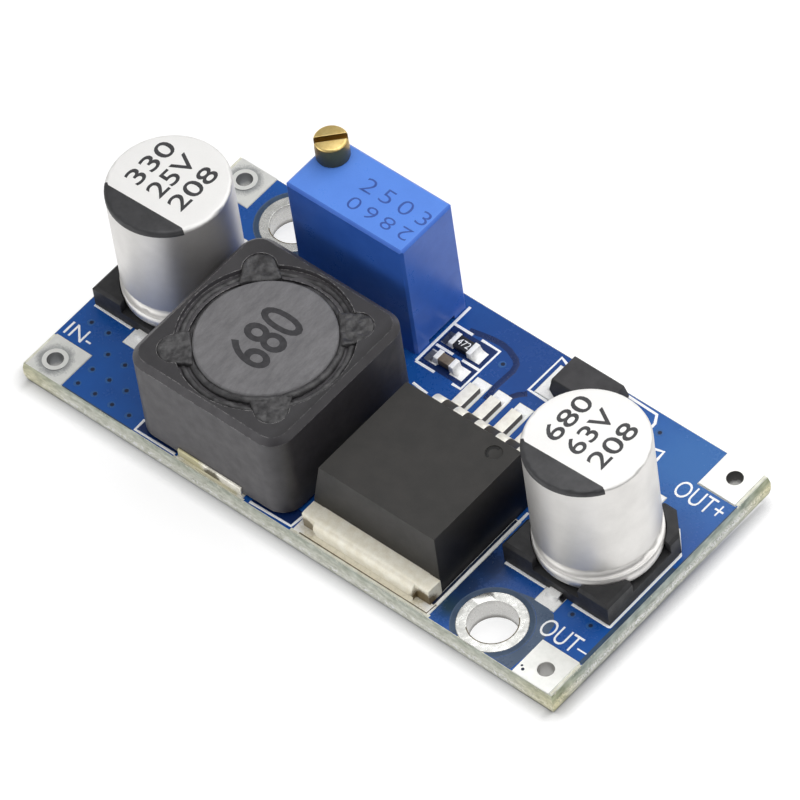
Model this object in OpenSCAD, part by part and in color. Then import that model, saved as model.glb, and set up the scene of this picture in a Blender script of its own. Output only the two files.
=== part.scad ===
// Adjustable step-up converter board. A five-lead switching regulator, a shielded
// power inductor, a rectifier diode, two electrolytic capacitors, two chip parts and a
// multi-turn trimmer are soldered to a two-sided printed board.
// Millimetres. +X runs from the input end to the output end, +Y towards the trimmer's
// edge and +Z up. The origin lies under the board's centre, level with the pin tips.

/* [Board] */
// Thickness of the laminate
board_t = 1.6; // [1.0:0.1:2.4]
// Inward lean of each scored edge, from the snapped web to the face
score_inset = 0.1; // [0.05:0.05:0.3]
// Depth of the score below each face
score_depth = 0.5; // [0.2:0.05:0.7]
// Bare laminate between a component and the nearest board end
end_margin = 0.65; // [0.3:0.05:3]
// Thickness of the solder mask
mask_t = 0.03; // [0.02:0.01:0.06]
// Solder mask kept back from the scored edges
mask_margin = 0.05; // [0.02:0.01:0.3]
// Clearance between the solder mask and bare metal
mask_gap = 0.05; // [0.02:0.01:0.15]
// Thickness of the tinned lands
land_t = 0.06; // [0.04:0.01:0.12]
// Wall of the tinned barrel in a terminal, a mounting hole or a pin's hole
plating_t = 0.18; // [0.16:0.01:0.22]

/* [Wire terminals] */
// Side of a square terminal pad
terminal_pad = 2.9; // [2.2:0.1:4]
// Bore of a terminal
terminal_bore = 1.1; // [0.8:0.05:1.6]
// Distance from a terminal's bore to the board end
terminal_inset_x = 1.6; // [1.5:0.05:4]
// Distance from a terminal's bore to the board side
terminal_inset_y = 1.4; // [1.3:0.05:3]
// Edge of a terminal pad to the scored face edge, along X
terminal_edge_gap = 0.2; // [0:0.05:0.5]
// Width of the raised solder ring round a terminal's bore
terminal_ring_w = 0.3; // [0.15:0.05:0.5]
// Height of the raised solder ring
terminal_ring_h = 0.06; // [0.02:0.01:0.12]

/* [Mounting holes] */
// Bore of a mounting hole
mount_bore = 3.2; // [2:0.1:3.6]
// Outer diameter of the tinned ring
mount_ring = 4.5; // [4:0.1:5]
// Distance from a mounting hole to the board end
mount_inset_x = 6.5; // [5.8:0.1:7]
// Distance from a mounting hole to the board side
mount_inset_y = 2.2; // [2:0.1:3]

/* [Vias] */
// Bore of a via
via_bore = 0.3; // [0.2:0.05:0.5]
// Wall of a via's barrel
via_wall = 0.05; // [0.03:0.01:0.08]
// Pitch of the vias in a row
via_pitch = 1.43; // [1.2:0.01:1.6]

/* [Regulator] */
// Width of the moulded body
reg_w = 10.1; // [9:0.1:11]
// Length of the moulded body
reg_l = 9.05; // [8:0.05:10]
// Height of the moulded body
reg_h = 4.5; // [4:0.1:5]
// Height of the parting line
reg_parting = 1.5; // [1.35:0.05:2]
// Lean of the body's sides above the parting line
reg_lean = 0.42; // [0.1:0.02:0.6]
// Thickness of the heat tab
tab_t = 1.27; // [0.8:0.01:1.3]
// Width of the heat tab in front of the body
tab_w = 10.2; // [9:0.1:11]
// Length of tab in front of the body
tab_reach = 1.45; // [1:0.05:2]
// Radius of the tab's upper front edge
tab_round = 0.55; // [0.1:0.05:0.7]
// Width of the notch in each front corner of the tab
tab_notch_w = 1.1; // [0.5:0.05:2]
// Depth of the notch in each front corner of the tab
tab_notch_d = 0.3; // [0.2:0.05:0.8]
// Pitch of the leads
lead_pitch = 1.7; // [1.5:0.01:1.9]
// Width of a lead
lead_w = 0.8; // [0.5:0.05:1]
// Thickness of a lead
lead_t = 0.5; // [0.3:0.05:0.6]
// Height of a lead's upper face where it leaves the body
lead_exit_h = 2.45; // [2.1:0.05:2.8]
// Straight length of a lead next to the body
lead_shoulder = 0.75; // [0.4:0.05:1.2]
// Slope of a lead down to the board
lead_slope = 62; // [45:1:80]
// Reach of the lead's foot from the back of the body
lead_reach = 4.05; // [3.4:0.05:4.5]
// Diameter of the dimple that marks the first lead
dimple_d = 1.1; // [0.6:0.1:1.5]

/* [Inductor] */
// Side of the shield
ind_w = 12.5; // [11:0.1:14]
// Height of the inductor above its lands
ind_h = 7.2; // [5:0.05:8]
// Radius of the shield's upright corners
ind_corner = 1.5; // [0.8:0.1:2]
// Chamfer round the shield's top edge
ind_chamfer = 0.4; // [0.2:0.05:0.6]
// Diameter of the drum's top flange
drum_d = 9.05; // [7:0.05:9.6]
// Clearance between the drum's flanges and the shield
drum_gap = 0.4; // [0.2:0.05:0.6]
// Thickness of a drum flange
drum_flange_t = 1.1; // [0.8:0.1:1.5]
// Diameter of the drum's post
drum_post_d = 4.4; // [3:0.1:5.5]
// Width of the step round the shield's mouth
shield_step_w = 0.75; // [0.4:0.05:1]
// Depth of the step and of the four corner pockets
shield_step_d = 0.4; // [0.2:0.05:0.6]
// Thickness of a terminal clip
clip_t = 0.25; // [0.15:0.05:0.4]
// Width of a terminal clip
clip_w = 5.2; // [3:0.1:6]
// Height of a clip's upright
clip_h = 0.75; // [0.5:0.05:1.2]
// Turns of wire in one layer of the winding
winding_turns = 7; // [4:1:9]

/* [Capacitors] */
// Diameter of a can
can_d = 8; // [6.3:0.1:9]
// Height of a capacitor above its lands
cap_h = 10.75; // [7:0.05:12]
// Wall of a can
can_wall = 0.25; // [0.2:0.05:0.35]
// Radius of the can's top edge
can_edge = 0.3; // [0.1:0.05:0.5]
// Depth of the groove rolled round the can
groove_d = 0.35; // [0.2:0.05:0.45]
// Height of the groove
groove_h = 0.9; // [0.72:0.01:1]
// Height of the groove's middle above the lands
groove_z = 2.62; // [2.4:0.02:3]
// Flare of the rolled lip below the groove
lip_flare = 0.08; // [0:0.02:0.12]
// Plastic left outside the can at each side of the base
base_skirt = 0.15; // [0.1:0.05:0.15]
// Clearance between the can and the base's corner posts
base_gap = 0.15; // [0.14:0.01:0.4]
// Thickness of the base under the can
base_t = 0.85; // [0.7:0.05:1.1]
// Height of the base's corner posts
base_post_h = 1.75; // [1.4:0.05:2.2]
// Length of a corner post along each side of the base
base_post_l = 2.35; // [1.8:0.05:2.8]
// Chamfer along the upper edges of the posts
base_edge = 0.2; // [0.05:0.05:0.25]
// Chamfer on the two corners that mark the positive lead
base_chamfer = 1.45; // [0.8:0.05:2]
// Width of a flattened lead
cap_lead_w = 0.9; // [0.7:0.05:1.1]
// Thickness of a flattened lead
cap_lead_t = 0.25; // [0.15:0.05:0.35]
// Length of a lead outside the base
cap_lead_reach = 0.45; // [0.3:0.05:0.6]
// Diameter of the lead wire inside the seal
cap_wire_d = 0.6; // [0.4:0.05:0.8]
// Distance of the lead wire from the can's axis
cap_wire_offset = 1.75; // [1.3:0.05:2.2]

/* [Trimmer] */
// Length of the housing
trim_l = 9.53; // [9:0.01:11]
// Depth of the housing
trim_d = 4.83; // [4.8:0.01:5.6]
// Height of the housing
trim_h = 10.03; // [9.6:0.01:11]
// Wall of the housing
trim_wall = 0.5; // [0.4:0.05:0.55]
// Chamfer along the housing's edges
trim_chamfer = 0.18; // [0.05:0.01:0.3]
// Height of the feet that hold the housing off the board
trim_foot = 0.35; // [0.2:0.05:0.6]
// Distance of the screw from the housing's end
screw_inset_x = 1.0; // [0.95:0.01:1.4]
// Distance of the screw from the housing's back
screw_inset_y = 1.36; // [1.2:0.01:1.6]
// Diameter of the screw's head
screw_head_d = 2.2; // [1.8:0.05:2.4]
// Height of the screw's head
screw_head_h = 1.6; // [1.2:0.05:2]
// Width of the screwdriver slot
slot_w = 0.42; // [0.3:0.02:0.7]
// Depth of the screwdriver slot
slot_d = 0.75; // [0.4:0.05:1]
// Turn of the slot from the board's long edge
slot_turn = 47; // [0:1:180]
// Diameter of the screw's neck in the housing
screw_neck_d = 1.2; // [1.1:0.05:1.3]
// Clearance between the worm and the housing's end wall
worm_gap = 0.05; // [0.03:0.01:0.1]
// Diameter of the journal at the foot of the worm
journal_d = 0.6; // [0.5:0.02:0.64]
// Running clearance of the screw and of the rotor, on the radius
running_gap = 0.04; // [0.02:0.01:0.08]
// Clearance between the worm and the rotor's teeth
mesh_gap = 0.1; // [0.06:0.02:0.2]
// Teeth on the rotor
rotor_teeth = 30; // [24:1:36]
// Outer diameter of the rotor
rotor_d = 6.1; // [5:0.1:6.4]
// Depth of the rotor's teeth
tooth_h = 0.4; // [0.25:0.05:0.5]
// Thickness of the rotor's toothed rim
rotor_t = 1.1; // [0.8:0.05:1.2]
// Diameter of the post that the rotor turns on
post_d = 1.0; // [0.8:0.05:1.3]
// Thickness of the ceramic element
element_t = 0.6; // [0.4:0.05:0.7]
// Thickness of the sealing compound that closes the housing
trim_base_t = 1.3; // [1:0.05:1.6]
// Pitch of the pins
pin_pitch = 2.54; // [2:0.01:3]
// Diameter of a pin
pin_d = 0.51; // [0.4:0.01:0.6]
// Length of a pin below the board
pin_proud = 0.75; // [0.4:0.05:1.5]
// Clearance of a pin in its plated hole
pin_gap = 0.12; // [0.08:0.01:0.2]

/* [Diode] */
// Length of the body
diode_l = 4.3; // [3.8:0.1:4.8]
// Width of the body
diode_w = 2.6; // [2.2:0.1:3]
// Height of the body above its lands
diode_h = 2.2; // [1.8:0.1:2.6]
// Lean of the body's sides, up and down from the parting line
diode_lean = 0.18; // [0.05:0.01:0.25]
// Thickness of a lead
diode_lead_t = 0.2; // [0.15:0.01:0.3]
// Width of a lead
diode_lead_w = 1.4; // [1:0.1:1.8]
// Length of lead outside the body
diode_lead_reach = 0.4; // [0.3:0.05:0.6]

/* [Chip parts] */
// Length of the chip resistor
resistor_l = 1.8; // [1.6:0.05:2.1]
// Width of the chip resistor
resistor_w = 1.0; // [0.8:0.05:1.3]
// Height of the chip resistor
resistor_h = 0.45; // [0.4:0.05:0.7]
// Length of the chip capacitor
chip_cap_l = 1.6; // [1.5:0.05:2.1]
// Width of the chip capacitor
chip_cap_w = 0.75; // [0.7:0.05:1.1]
// Height of the chip capacitor
chip_cap_h = 0.62; // [0.5:0.02:1]
// Length of a metal end cap
chip_end = 0.35; // [0.25:0.05:0.45]
// Thickness of a metal end cap
chip_end_t = 0.05; // [0.03:0.01:0.08]

/* [Spacing] */
// Input capacitor to inductor
gap_cap_ind = 0.3; // [0.2:0.05:3]
// Inductor to regulator
gap_ind_reg = 0.95; // [0.6:0.05:3]
// Regulator to output capacitor
gap_reg_cap = 1.45; // [1.3:0.05:3]
// Inductor to the front edge of the board
gap_ind_front = 0.45; // [0.4:0.05:1.5]
// Inductor to trimmer
gap_ind_trim = 2.1; // [1.9:0.05:4]
// Trimmer to the back edge of the board
gap_trim_back = 0.82; // [0.5:0.02:2]
// Tab of the regulator to the front edge of the board
gap_tab_front = 0.6; // [0.5:0.05:1.5]
// Lands of the regulator to the lands of the diode
gap_reg_diode = 1.2; // [0.4:0.05:3]
// Lands of the diode to the back edge of the board
gap_diode_back = 0.95; // [0.5:0.05:2]
// Trimmer's end back from the inductor's side
trim_setback = 2.1; // [0:0.1:3]
// Trimmer to the lands of the chip parts
gap_trim_chip = 0.45; // [0.3:0.05:1]
// Chip resistor's middle to the back edge of the board
resistor_back = 3.43; // [3:0.01:4]
// Pitch between the two chip parts
chip_pitch = 1.67; // [1.6:0.01:2.5]
// Gap between the two lands of a chip part
chip_land_gap = 1.1; // [0.8:0.05:1.3]
// Diode's middle from the regulator's middle
diode_offset = 3.05; // [2:0.05:4]
// Land that shows beyond a lead's toe
land_toe = 0.85; // [0.6:0.05:1.2]

/* [Hidden] */
$fn = 64;
// Small overlap that keeps cuts and joined solids clean
lap = 0.05;

// Row of components along the board
base_w = can_d + 2 * base_skirt;
board_l = 2 * end_margin + 2 * base_w + gap_cap_ind + ind_w + gap_ind_reg + reg_w + gap_reg_cap;
in_cap_x = -board_l / 2 + end_margin + base_w / 2;
ind_x = in_cap_x + base_w / 2 + gap_cap_ind + ind_w / 2;
reg_x = ind_x + ind_w / 2 + gap_ind_reg + reg_w / 2;
out_cap_x = board_l / 2 - end_margin - base_w / 2;

// Two stacks across the board, of which the deeper sets the width
ind_stack = gap_ind_front + ind_w + gap_ind_trim + trim_d + gap_trim_back;
diode_land_w = diode_w - 0.1;
reg_stack = gap_tab_front + tab_reach + reg_l + lead_reach + land_toe
          + gap_reg_diode + diode_land_w + gap_diode_back;
board_w = max(ind_stack, reg_stack);
front_y = -board_w / 2;
back_y = board_w / 2;
ind_y = front_y + gap_ind_front + ind_w / 2;
tab_y = front_y + gap_tab_front;
reg_y = tab_y + tab_reach + reg_l / 2;
reg_back_y = reg_y + reg_l / 2;

// Heights
board_z = pin_proud;
top_z = board_z + board_t;
seat_z = top_z + land_t;
face_l = board_l - 2 * score_inset;
face_w = board_w - 2 * score_inset;

// Terminals and mounting holes
terminal_x = board_l / 2 - terminal_inset_x;
terminal_y = board_w / 2 - terminal_inset_y;
terminal_out_x = terminal_inset_x - score_inset - terminal_edge_gap;
terminal_out_y = terminal_inset_y - score_inset;
mount_x = board_l / 2 - mount_inset_x;
mount_y = board_w / 2 - mount_inset_y;
mounts = [[mount_x, -mount_y], [-mount_x, mount_y]];

// Rows of vias: the first via's distances from the input end and the front edge, and the count
via_rows = [[1.4, 4.95, 2], [3.95, 3.65, 2], [3.95, 2.2, 3], [3.95, 0.85, 4]];
// Pair of vias by the output terminals, from the output end and the front edge
via_pair = [1.6, 5.5];
// Single vias, from the output end and the back edge
via_singles = [[7.6, 1.4], [18.84, 3.03]];

// Trimmer
trim_x = ind_x + ind_w / 2 - trim_setback - trim_l / 2;
trim_y = back_y - gap_trim_back - trim_d / 2;
trim_z = top_z + mask_t;
screw_x = -trim_l / 2 + screw_inset_x;
screw_y = trim_d / 2 - screw_inset_y;
worm_d = 2 * (screw_inset_x - trim_wall - worm_gap);
cavity_l = trim_l - 2 * trim_wall;
cavity_d = trim_d - 2 * trim_wall;
trim_top_t = 0.9;
boss_d = screw_neck_d + 2 * trim_wall;
boss_h = 1.1;
neck_h = trim_top_t + boss_h;
ring_t = 0.25;
rotor_x = screw_x + worm_d / 2 + mesh_gap + rotor_d / 2;
rotor_z = (trim_base_t + trim_foot + trim_h - trim_top_t) / 2;
rotor_back = screw_y + rotor_t / 2;
element_y = -cavity_d / 2;
wiper_gap = 0.05;
wiper_t = 0.15;
wiper_dimple = 0.2;
rotor_front = element_y + element_t + wiper_gap + wiper_dimple + wiper_t;
journal_top = trim_foot + trim_base_t + 0.1;
journal_foot = trim_foot + trim_base_t - 0.6;
pin_y = element_y + element_t + pin_d / 2;
pin_land = pin_d + 2 * pin_gap + 2 * plating_t + 0.7;

// Inductor
clip_reach = 0.15;
clip_under = 2.6;
clip_toe = 0.13;
mouth_d = drum_d + 2 * drum_gap;
ind_body_h = ind_h - clip_t;
ind_land_d = clip_under + clip_reach + clip_toe;
pocket_r = ind_w * 0.088;
pocket_reach = mouth_d / 2 + 0.675;
pocket_lean = 12;

// Capacitors
can_r = can_d / 2;
mouth_r = can_r - groove_d - can_wall;
lip_r = can_r + lip_flare - mouth_r;
cap_land_w = cap_lead_w + 0.6;
cap_land_l = 3.8;
cap_land_out = base_w / 2 + 1.2;
fit_gap = 0.02;

// Diode and chip parts
diode_land_l = 2.2;
diode_span = diode_l + 2 * diode_lead_reach;
diode_x = reg_x + diode_offset;
diode_y = back_y - gap_diode_back - diode_land_w / 2;
chip_land_l = 1.0;
resistor_land_w = resistor_w;
chip_cap_land_w = chip_cap_w + 0.2;
chip_x = trim_x + trim_l / 2 + gap_trim_chip + chip_land_l + chip_land_gap / 2;
resistor_y = back_y - resistor_back;
chip_cap_y = resistor_y - chip_pitch;

// Points of an arc about c, from angle a0 to angle a1
function arc(c, r, a0, a1, n = 8) =
    [for (i = [0 : n]) let (a = a0 + (a1 - a0) * i / n) [c[0] + r * cos(a), c[1] + r * sin(a)]];

// Box centred in X and Y that stands on z = 0
module slab(w, d, h) translate([-w / 2, -d / 2, 0]) cube([w, d, h]);

// Profile in Y and Z, drawn as [y, z], extruded along X about x = 0
module along_x(w) rotate([90, 0, 90]) linear_extrude(height = w, center = true) children();

// Profile in X and Z, drawn as [x, z], extruded along Y about y = 0
module along_y(d) rotate([90, 0, 0]) linear_extrude(height = d, center = true) children();

// Side view of a block whose two sides lean in by lean over its height
module leaning_side(span, h, lean)
    polygon([[-span / 2, 0], [span / 2, 0], [span / 2 - lean, h], [-span / 2 + lean, h]]);

// Block on z = 0 whose four sides lean in by lean over its height
module leaning_block(w, d, h, lean) {
    intersection() {
        along_y(d) leaning_side(w, h, lean);
        along_x(w) leaning_side(d, h, lean);
    }
}

// Concave solder fillet that runs along X, with its upright face on y = 0, rising from z = 0
module fillet(w, size) {
    along_x(w) polygon(concat([[0, 0]], arc([size, size], size, 270, 180, 6)));
}

// Board

module edge_profile(span) {
    face = span / 2 - score_inset;
    polygon([
        [-face, 0], [face, 0], [span / 2, score_depth], [span / 2, board_t - score_depth],
        [face, board_t], [-face, board_t], [-span / 2, board_t - score_depth], [-span / 2, score_depth]
    ]);
}

module at_terminals() {
    for (sx = [-1, 1]) {
        for (sy = [-1, 1]) {
            translate([sx * terminal_x, sy * terminal_y, 0])
                mirror([sx < 0 ? 1 : 0, 0, 0])
                mirror([0, sy < 0 ? 1 : 0, 0])
                children();
        }
    }
}

module at_mounts() for (p = mounts) translate([p[0], p[1], 0]) children();

module at_vias() {
    for (row = via_rows) {
        for (i = [0 : row[2] - 1]) {
            translate([-board_l / 2 + row[0] + i * via_pitch, front_y + row[1], 0]) children();
        }
    }
    for (i = [0 : 1]) {
        translate([board_l / 2 - via_pair[0] - i * via_pitch, front_y + via_pair[1], 0]) children();
    }
    for (p = via_singles) translate([board_l / 2 - p[0], back_y - p[1], 0]) children();
}

module at_pins() {
    for (i = [-1 : 1]) translate([trim_x + i * pin_pitch, trim_y + pin_y, 0]) children();
}

// Square of a terminal pad, drawn from its bore towards the board's corner
module terminal_square(grow, h) {
    inner = terminal_pad - terminal_out_x;
    inner_y = terminal_pad - terminal_out_y;
    translate([-inner - grow, -inner_y - grow, 0])
        cube([terminal_pad + 2 * grow, terminal_pad + 2 * grow, h]);
}

// One land, given by its centre and size
module land(x, y, w, d, grow, h) translate([x, y, 0]) slab(w + 2 * grow, d + 2 * grow, h);

// Every land on the upper face, each grown by grow on all sides
module all_lands(grow, h) {
    // Regulator: tab, then the row of leads
    tab_land_w = reg_w + 0.8;
    tab_land_d = tab_reach + reg_l * 0.8;
    land(reg_x, tab_y - 0.3 + tab_land_d / 2, tab_land_w, tab_land_d, grow, h);
    lead_land_d = land_toe + lead_reach - 1.6;
    for (i = [-2 : 2]) {
        land(reg_x + i * lead_pitch, reg_back_y + lead_reach + land_toe - lead_land_d / 2,
             lead_w + 0.3, lead_land_d, grow, h);
    }
    // Inductor
    for (s = [-1, 1]) {
        land(ind_x, ind_y + s * (ind_w / 2 + clip_reach + clip_toe - ind_land_d / 2),
             clip_w + 0.2, ind_land_d, grow, h);
    }
    // Capacitors
    for (x = [in_cap_x, out_cap_x]) {
        for (s = [-1, 1]) {
            land(x, s * (cap_land_out - cap_land_l / 2), cap_land_w, cap_land_l, grow, h);
        }
    }
    // Diode and chip parts
    for (s = [-1, 1]) {
        land(diode_x + s * (diode_span / 2 + 0.9 - diode_land_l / 2), diode_y,
             diode_land_l, diode_land_w, grow, h);
        chip_land_x = chip_x + s * (chip_land_gap + chip_land_l) / 2;
        land(chip_land_x, resistor_y, chip_land_l, resistor_land_w, grow, h);
        land(chip_land_x, chip_cap_y, chip_land_l, chip_cap_land_w, grow, h);
    }
}

// Every hole through the laminate, wide enough for its barrel
module all_bores(z, h) {
    wall = 2 * plating_t;
    translate([0, 0, z]) {
        at_terminals() cylinder(d = terminal_bore + wall, h = h);
        at_mounts() cylinder(d = mount_bore + wall, h = h);
        at_vias() cylinder(d = via_bore + 2 * via_wall, h = h, $fn = 24);
        at_pins() cylinder(d = pin_d + 2 * pin_gap + wall, h = h, $fn = 32);
    }
}

module circuit_board() {
    color("#c3c8b4") difference() {
        translate([0, 0, board_z]) intersection() {
            along_y(board_w) edge_profile(board_l);
            along_x(board_l) edge_profile(board_w);
        }
        all_bores(board_z - lap, board_t + 2 * lap);
    }
}

module mask_sheet(z) {
    difference() {
        translate([0, 0, z]) slab(face_l - 2 * mask_margin, face_w - 2 * mask_margin, mask_t);
        translate([0, 0, z - lap]) {
            at_terminals() terminal_square(mask_gap, mask_t + 2 * lap);
            at_mounts() cylinder(d = mount_ring + 2 * mask_gap, h = mask_t + 2 * lap);
            at_pins() cylinder(d = pin_land + 2 * mask_gap, h = mask_t + 2 * lap, $fn = 32);
            at_vias() cylinder(d = via_bore, h = mask_t + 2 * lap, $fn = 24);
            children();
        }
    }
}

module solder_mask_top() {
    color("#1f4a9c") mask_sheet(top_z) all_lands(mask_gap, mask_t + 2 * lap);
}

module solder_mask_bottom() {
    color("#1f4a9c") mask_sheet(board_z - mask_t);
}

// Metal of one through terminal: a plate on each face, joined by the barrel
module through_plate(bore) {
    difference() {
        union() {
            translate([0, 0, board_z - land_t]) children();
            translate([0, 0, top_z]) children();
            translate([0, 0, board_z - land_t / 2])
                cylinder(d = bore + 2 * plating_t, h = board_t + land_t);
        }
        translate([0, 0, board_z - 1]) cylinder(d = bore, h = board_t + 2);
    }
}

module terminal_pads() {
    color("#c9c9c6") at_terminals() {
        through_plate(terminal_bore) terminal_square(0, land_t);
        translate([0, 0, seat_z]) difference() {
            cylinder(d = terminal_bore + 2 * terminal_ring_w, h = terminal_ring_h);
            translate([0, 0, -lap]) cylinder(d = terminal_bore, h = terminal_ring_h + 2 * lap);
        }
    }
}

module mounting_eyelets() {
    color("#d5d4cf") intersection() {
        at_mounts() through_plate(mount_bore) cylinder(d = mount_ring, h = land_t);
        slab(face_l, face_w, seat_z + lap);
    }
}

module component_lands() {
    color("#dcdcd8") translate([0, 0, top_z]) all_lands(0, land_t);
}

module plated_holes() {
    color("#b9a77a") {
        difference() {
            translate([0, 0, board_z]) at_vias()
                cylinder(d = via_bore + 2 * via_wall, h = board_t, $fn = 24);
            translate([0, 0, board_z - lap]) at_vias()
                cylinder(d = via_bore, h = board_t + 2 * lap, $fn = 24);
        }
        at_pins() through_plate(pin_d + 2 * pin_gap) cylinder(d = pin_land, h = land_t / 2, $fn = 32);
    }
}

module solder_joints() {
    chip_fillet = 0.4;
    toe_fillet = 0.42;
    edge_fillet = 0.26;
    color("#e4e3df") {
        translate([0, 0, seat_z]) {
            // Toes of the regulator's leads and the front of its tab
            for (i = [-2 : 2]) {
                translate([reg_x + i * lead_pitch, reg_back_y + lead_reach, 0]) fillet(lead_w, toe_fillet);
            }
            translate([reg_x, tab_y, 0]) mirror([0, 1, 0]) fillet(tab_w - 2 * tab_notch_w, edge_fillet);
            // Inductor clips
            for (s = [-1, 1]) {
                translate([ind_x, ind_y + s * (ind_w / 2 + clip_reach), 0])
                    mirror([0, s < 0 ? 1 : 0, 0]) fillet(clip_w - 0.2, clip_toe - 0.01);
            }
            // Toes of the capacitors' leads
            for (x = [in_cap_x, out_cap_x]) {
                for (s = [-1, 1]) {
                    translate([x, s * (base_w / 2 + cap_lead_reach), 0])
                        mirror([0, s < 0 ? 1 : 0, 0]) fillet(cap_lead_w, cap_lead_t - 0.02);
                }
            }
            // Ends of the diode and of the chip parts
            for (s = [0, 1]) {
                translate([diode_x, diode_y, 0]) mirror([s, 0, 0])
                    translate([diode_span / 2, 0, 0]) rotate(-90) fillet(diode_lead_w, toe_fillet);
                translate([chip_x, resistor_y, 0]) mirror([s, 0, 0])
                    translate([resistor_l / 2, 0, 0]) rotate(-90) fillet(resistor_w, chip_fillet);
                translate([chip_x, chip_cap_y, 0]) mirror([s, 0, 0])
                    translate([chip_cap_l / 2, 0, 0]) rotate(-90) fillet(chip_cap_w, chip_fillet);
            }
        }
        // Cones under the trimmer's pins
        cone_z = board_z - land_t;
        cone_h = cone_z - pin_proud * 0.35;
        cone_run = pin_land / 2 - 0.08 - pin_d / 2;
        at_pins() translate([0, 0, cone_z]) mirror([0, 0, 1]) rotate_extrude($fn = 32)
            polygon([
                [pin_d / 2, 0], [pin_d / 2 + cone_run, 0], [pin_d / 2 + cone_run * 0.5, cone_h * 0.3],
                [pin_d / 2 + cone_run * 0.18, cone_h * 0.65], [pin_d / 2, cone_h]
            ]);
    }
}

// Regulator

module at_regulator() translate([reg_x, reg_y, seat_z]) children();

// Side view of a gull-wing lead: bent down at bend_start, flat again on its foot
module gull_wing(start, bend_start, toe) {
    bend_r = 0.45;
    drop = lead_exit_h - lead_t;
    straight = (drop - 2 * bend_r * (1 - cos(lead_slope))) / sin(lead_slope);
    foot = bend_start + 2 * bend_r * sin(lead_slope) + straight * cos(lead_slope);
    upper = [bend_start, lead_exit_h - lead_t / 2 - bend_r];
    lower = [foot, lead_t / 2 + bend_r];
    outer = bend_r + lead_t / 2;
    inner = bend_r - lead_t / 2;
    polygon(concat(
        [[start, lead_exit_h]],
        arc(upper, outer, 90, 90 - lead_slope, 6),
        arc(lower, inner, 270 - lead_slope, 270, 6),
        [[toe, lead_t], [toe, 0]],
        arc(lower, outer, 270, 270 - lead_slope, 6),
        arc(upper, inner, 90 - lead_slope, 90, 6),
        [[start, lead_exit_h - lead_t]]
    ));
}

module lead_row() {
    embedded = 0.9;
    back = reg_l / 2;
    for (i = [-2 : 2]) {
        translate([i * lead_pitch, 0, 0])
            along_x(lead_w) gull_wing(back - embedded, back + lead_shoulder, back + lead_reach);
    }
}

// Heat tab: a slug under the body, wider where it comes out at the front, with a round
// front edge and a notch in each front corner
module tab_plate() {
    slug_w = reg_w - 1.6;
    slug_end = reg_l * 0.2;
    shoulder = -reg_l / 2;
    front = shoulder - tab_reach;
    r = tab_round;
    nose = concat([[front, 0]], arc([front + r, tab_t - r], r, 180, 90));
    difference() {
        union() {
            along_x(tab_w) polygon(concat(nose, [[shoulder, tab_t], [shoulder, 0]]));
            along_x(slug_w) polygon(concat(nose, [[slug_end, tab_t], [slug_end, 0]]));
        }
        for (s = [0, 1]) {
            mirror([s, 0, 0]) translate([tab_w / 2 - tab_notch_w, front - lap, -lap])
                cube([tab_notch_w + lap, tab_notch_d + lap, tab_t + 2 * lap]);
        }
    }
}

module regulator_body() {
    top_half = reg_l / 2 - reg_lean;
    color("#38383a") at_regulator() difference() {
        union() {
            slab(reg_w, reg_l, reg_parting);
            translate([0, 0, reg_parting]) leaning_block(reg_w, reg_l, reg_h - reg_parting, reg_lean);
        }
        tab_plate();
        lead_row();
        translate([reg_w / 2 - reg_lean - 1.4, top_half - 1.0, reg_h - 0.08])
            cylinder(d = dimple_d, h = 1);
    }
}

module regulator_tab() {
    color("#d9d5c8") at_regulator() tab_plate();
}

module regulator_leads() {
    color("#dedbd2") at_regulator() lead_row();
}

// Inductor

module at_inductor() translate([ind_x, ind_y, seat_z]) children();

// Side view of the shield's block, with its top edges chamfered
module shield_side() {
    w = ind_w / 2;
    c = ind_chamfer;
    polygon([
        [-w, 0], [w, 0], [w, ind_body_h - c], [w - c, ind_body_h], [-w + c, ind_body_h], [-w, ind_body_h - c]
    ]);
}

// The shield before its mouth is cut: round upright corners, one chamfer all round the top
module shield_block() {
    flat = ind_w - 2 * ind_corner;
    shoulder = ind_body_h - ind_chamfer;
    along_x(flat) shield_side();
    along_y(flat) shield_side();
    for (sx = [-1, 1]) {
        for (sy = [-1, 1]) {
            translate([sx * flat / 2, sy * flat / 2, 0]) {
                cylinder(r = ind_corner, h = shoulder);
                translate([0, 0, shoulder])
                    cylinder(r1 = ind_corner, r2 = ind_corner - ind_chamfer, h = ind_chamfer);
            }
        }
    }
}

// Corner pocket along +X: sides that close in from near to a round end, inset all round
module pocket(near, inset, h) {
    r = pocket_r - inset;
    tip_x = pocket_reach + r * sin(pocket_lean);
    tip_y = r * cos(pocket_lean);
    half = tip_y + (tip_x - near) * tan(pocket_lean);
    linear_extrude(height = h) polygon([[near, -half], [tip_x, -tip_y], [tip_x, tip_y], [near, half]]);
    translate([pocket_reach, 0, 0]) cylinder(r = r, h = h);
}

module inductor_shield() {
    step_floor = ind_body_h - shield_step_d;
    color("#4a4a4c") at_inductor() translate([0, 0, clip_t]) difference() {
        shield_block();
        translate([0, 0, -lap]) cylinder(d = mouth_d, h = ind_h);
        translate([0, 0, step_floor]) cylinder(d = mouth_d + 2 * shield_step_w, h = ind_h);
        for (a = [45 : 90 : 315]) {
            rotate(a) translate([0, 0, step_floor]) pocket(mouth_d / 2, 0, ind_h);
        }
    }
}

module inductor_core() {
    color("#6c6b6c") at_inductor() translate([0, 0, clip_t]) rotate_extrude($fn = 96) {
        r = drum_d / 2;
        post = drum_post_d / 2;
        edge = 0.12;
        polygon([
            [0, 0], [r, 0], [r, drum_flange_t], [post, drum_flange_t],
            [post, ind_body_h - drum_flange_t], [r, ind_body_h - drum_flange_t],
            [r, ind_body_h - edge], [r - edge, ind_body_h], [0, ind_body_h]
        ]);
    }
}

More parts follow.
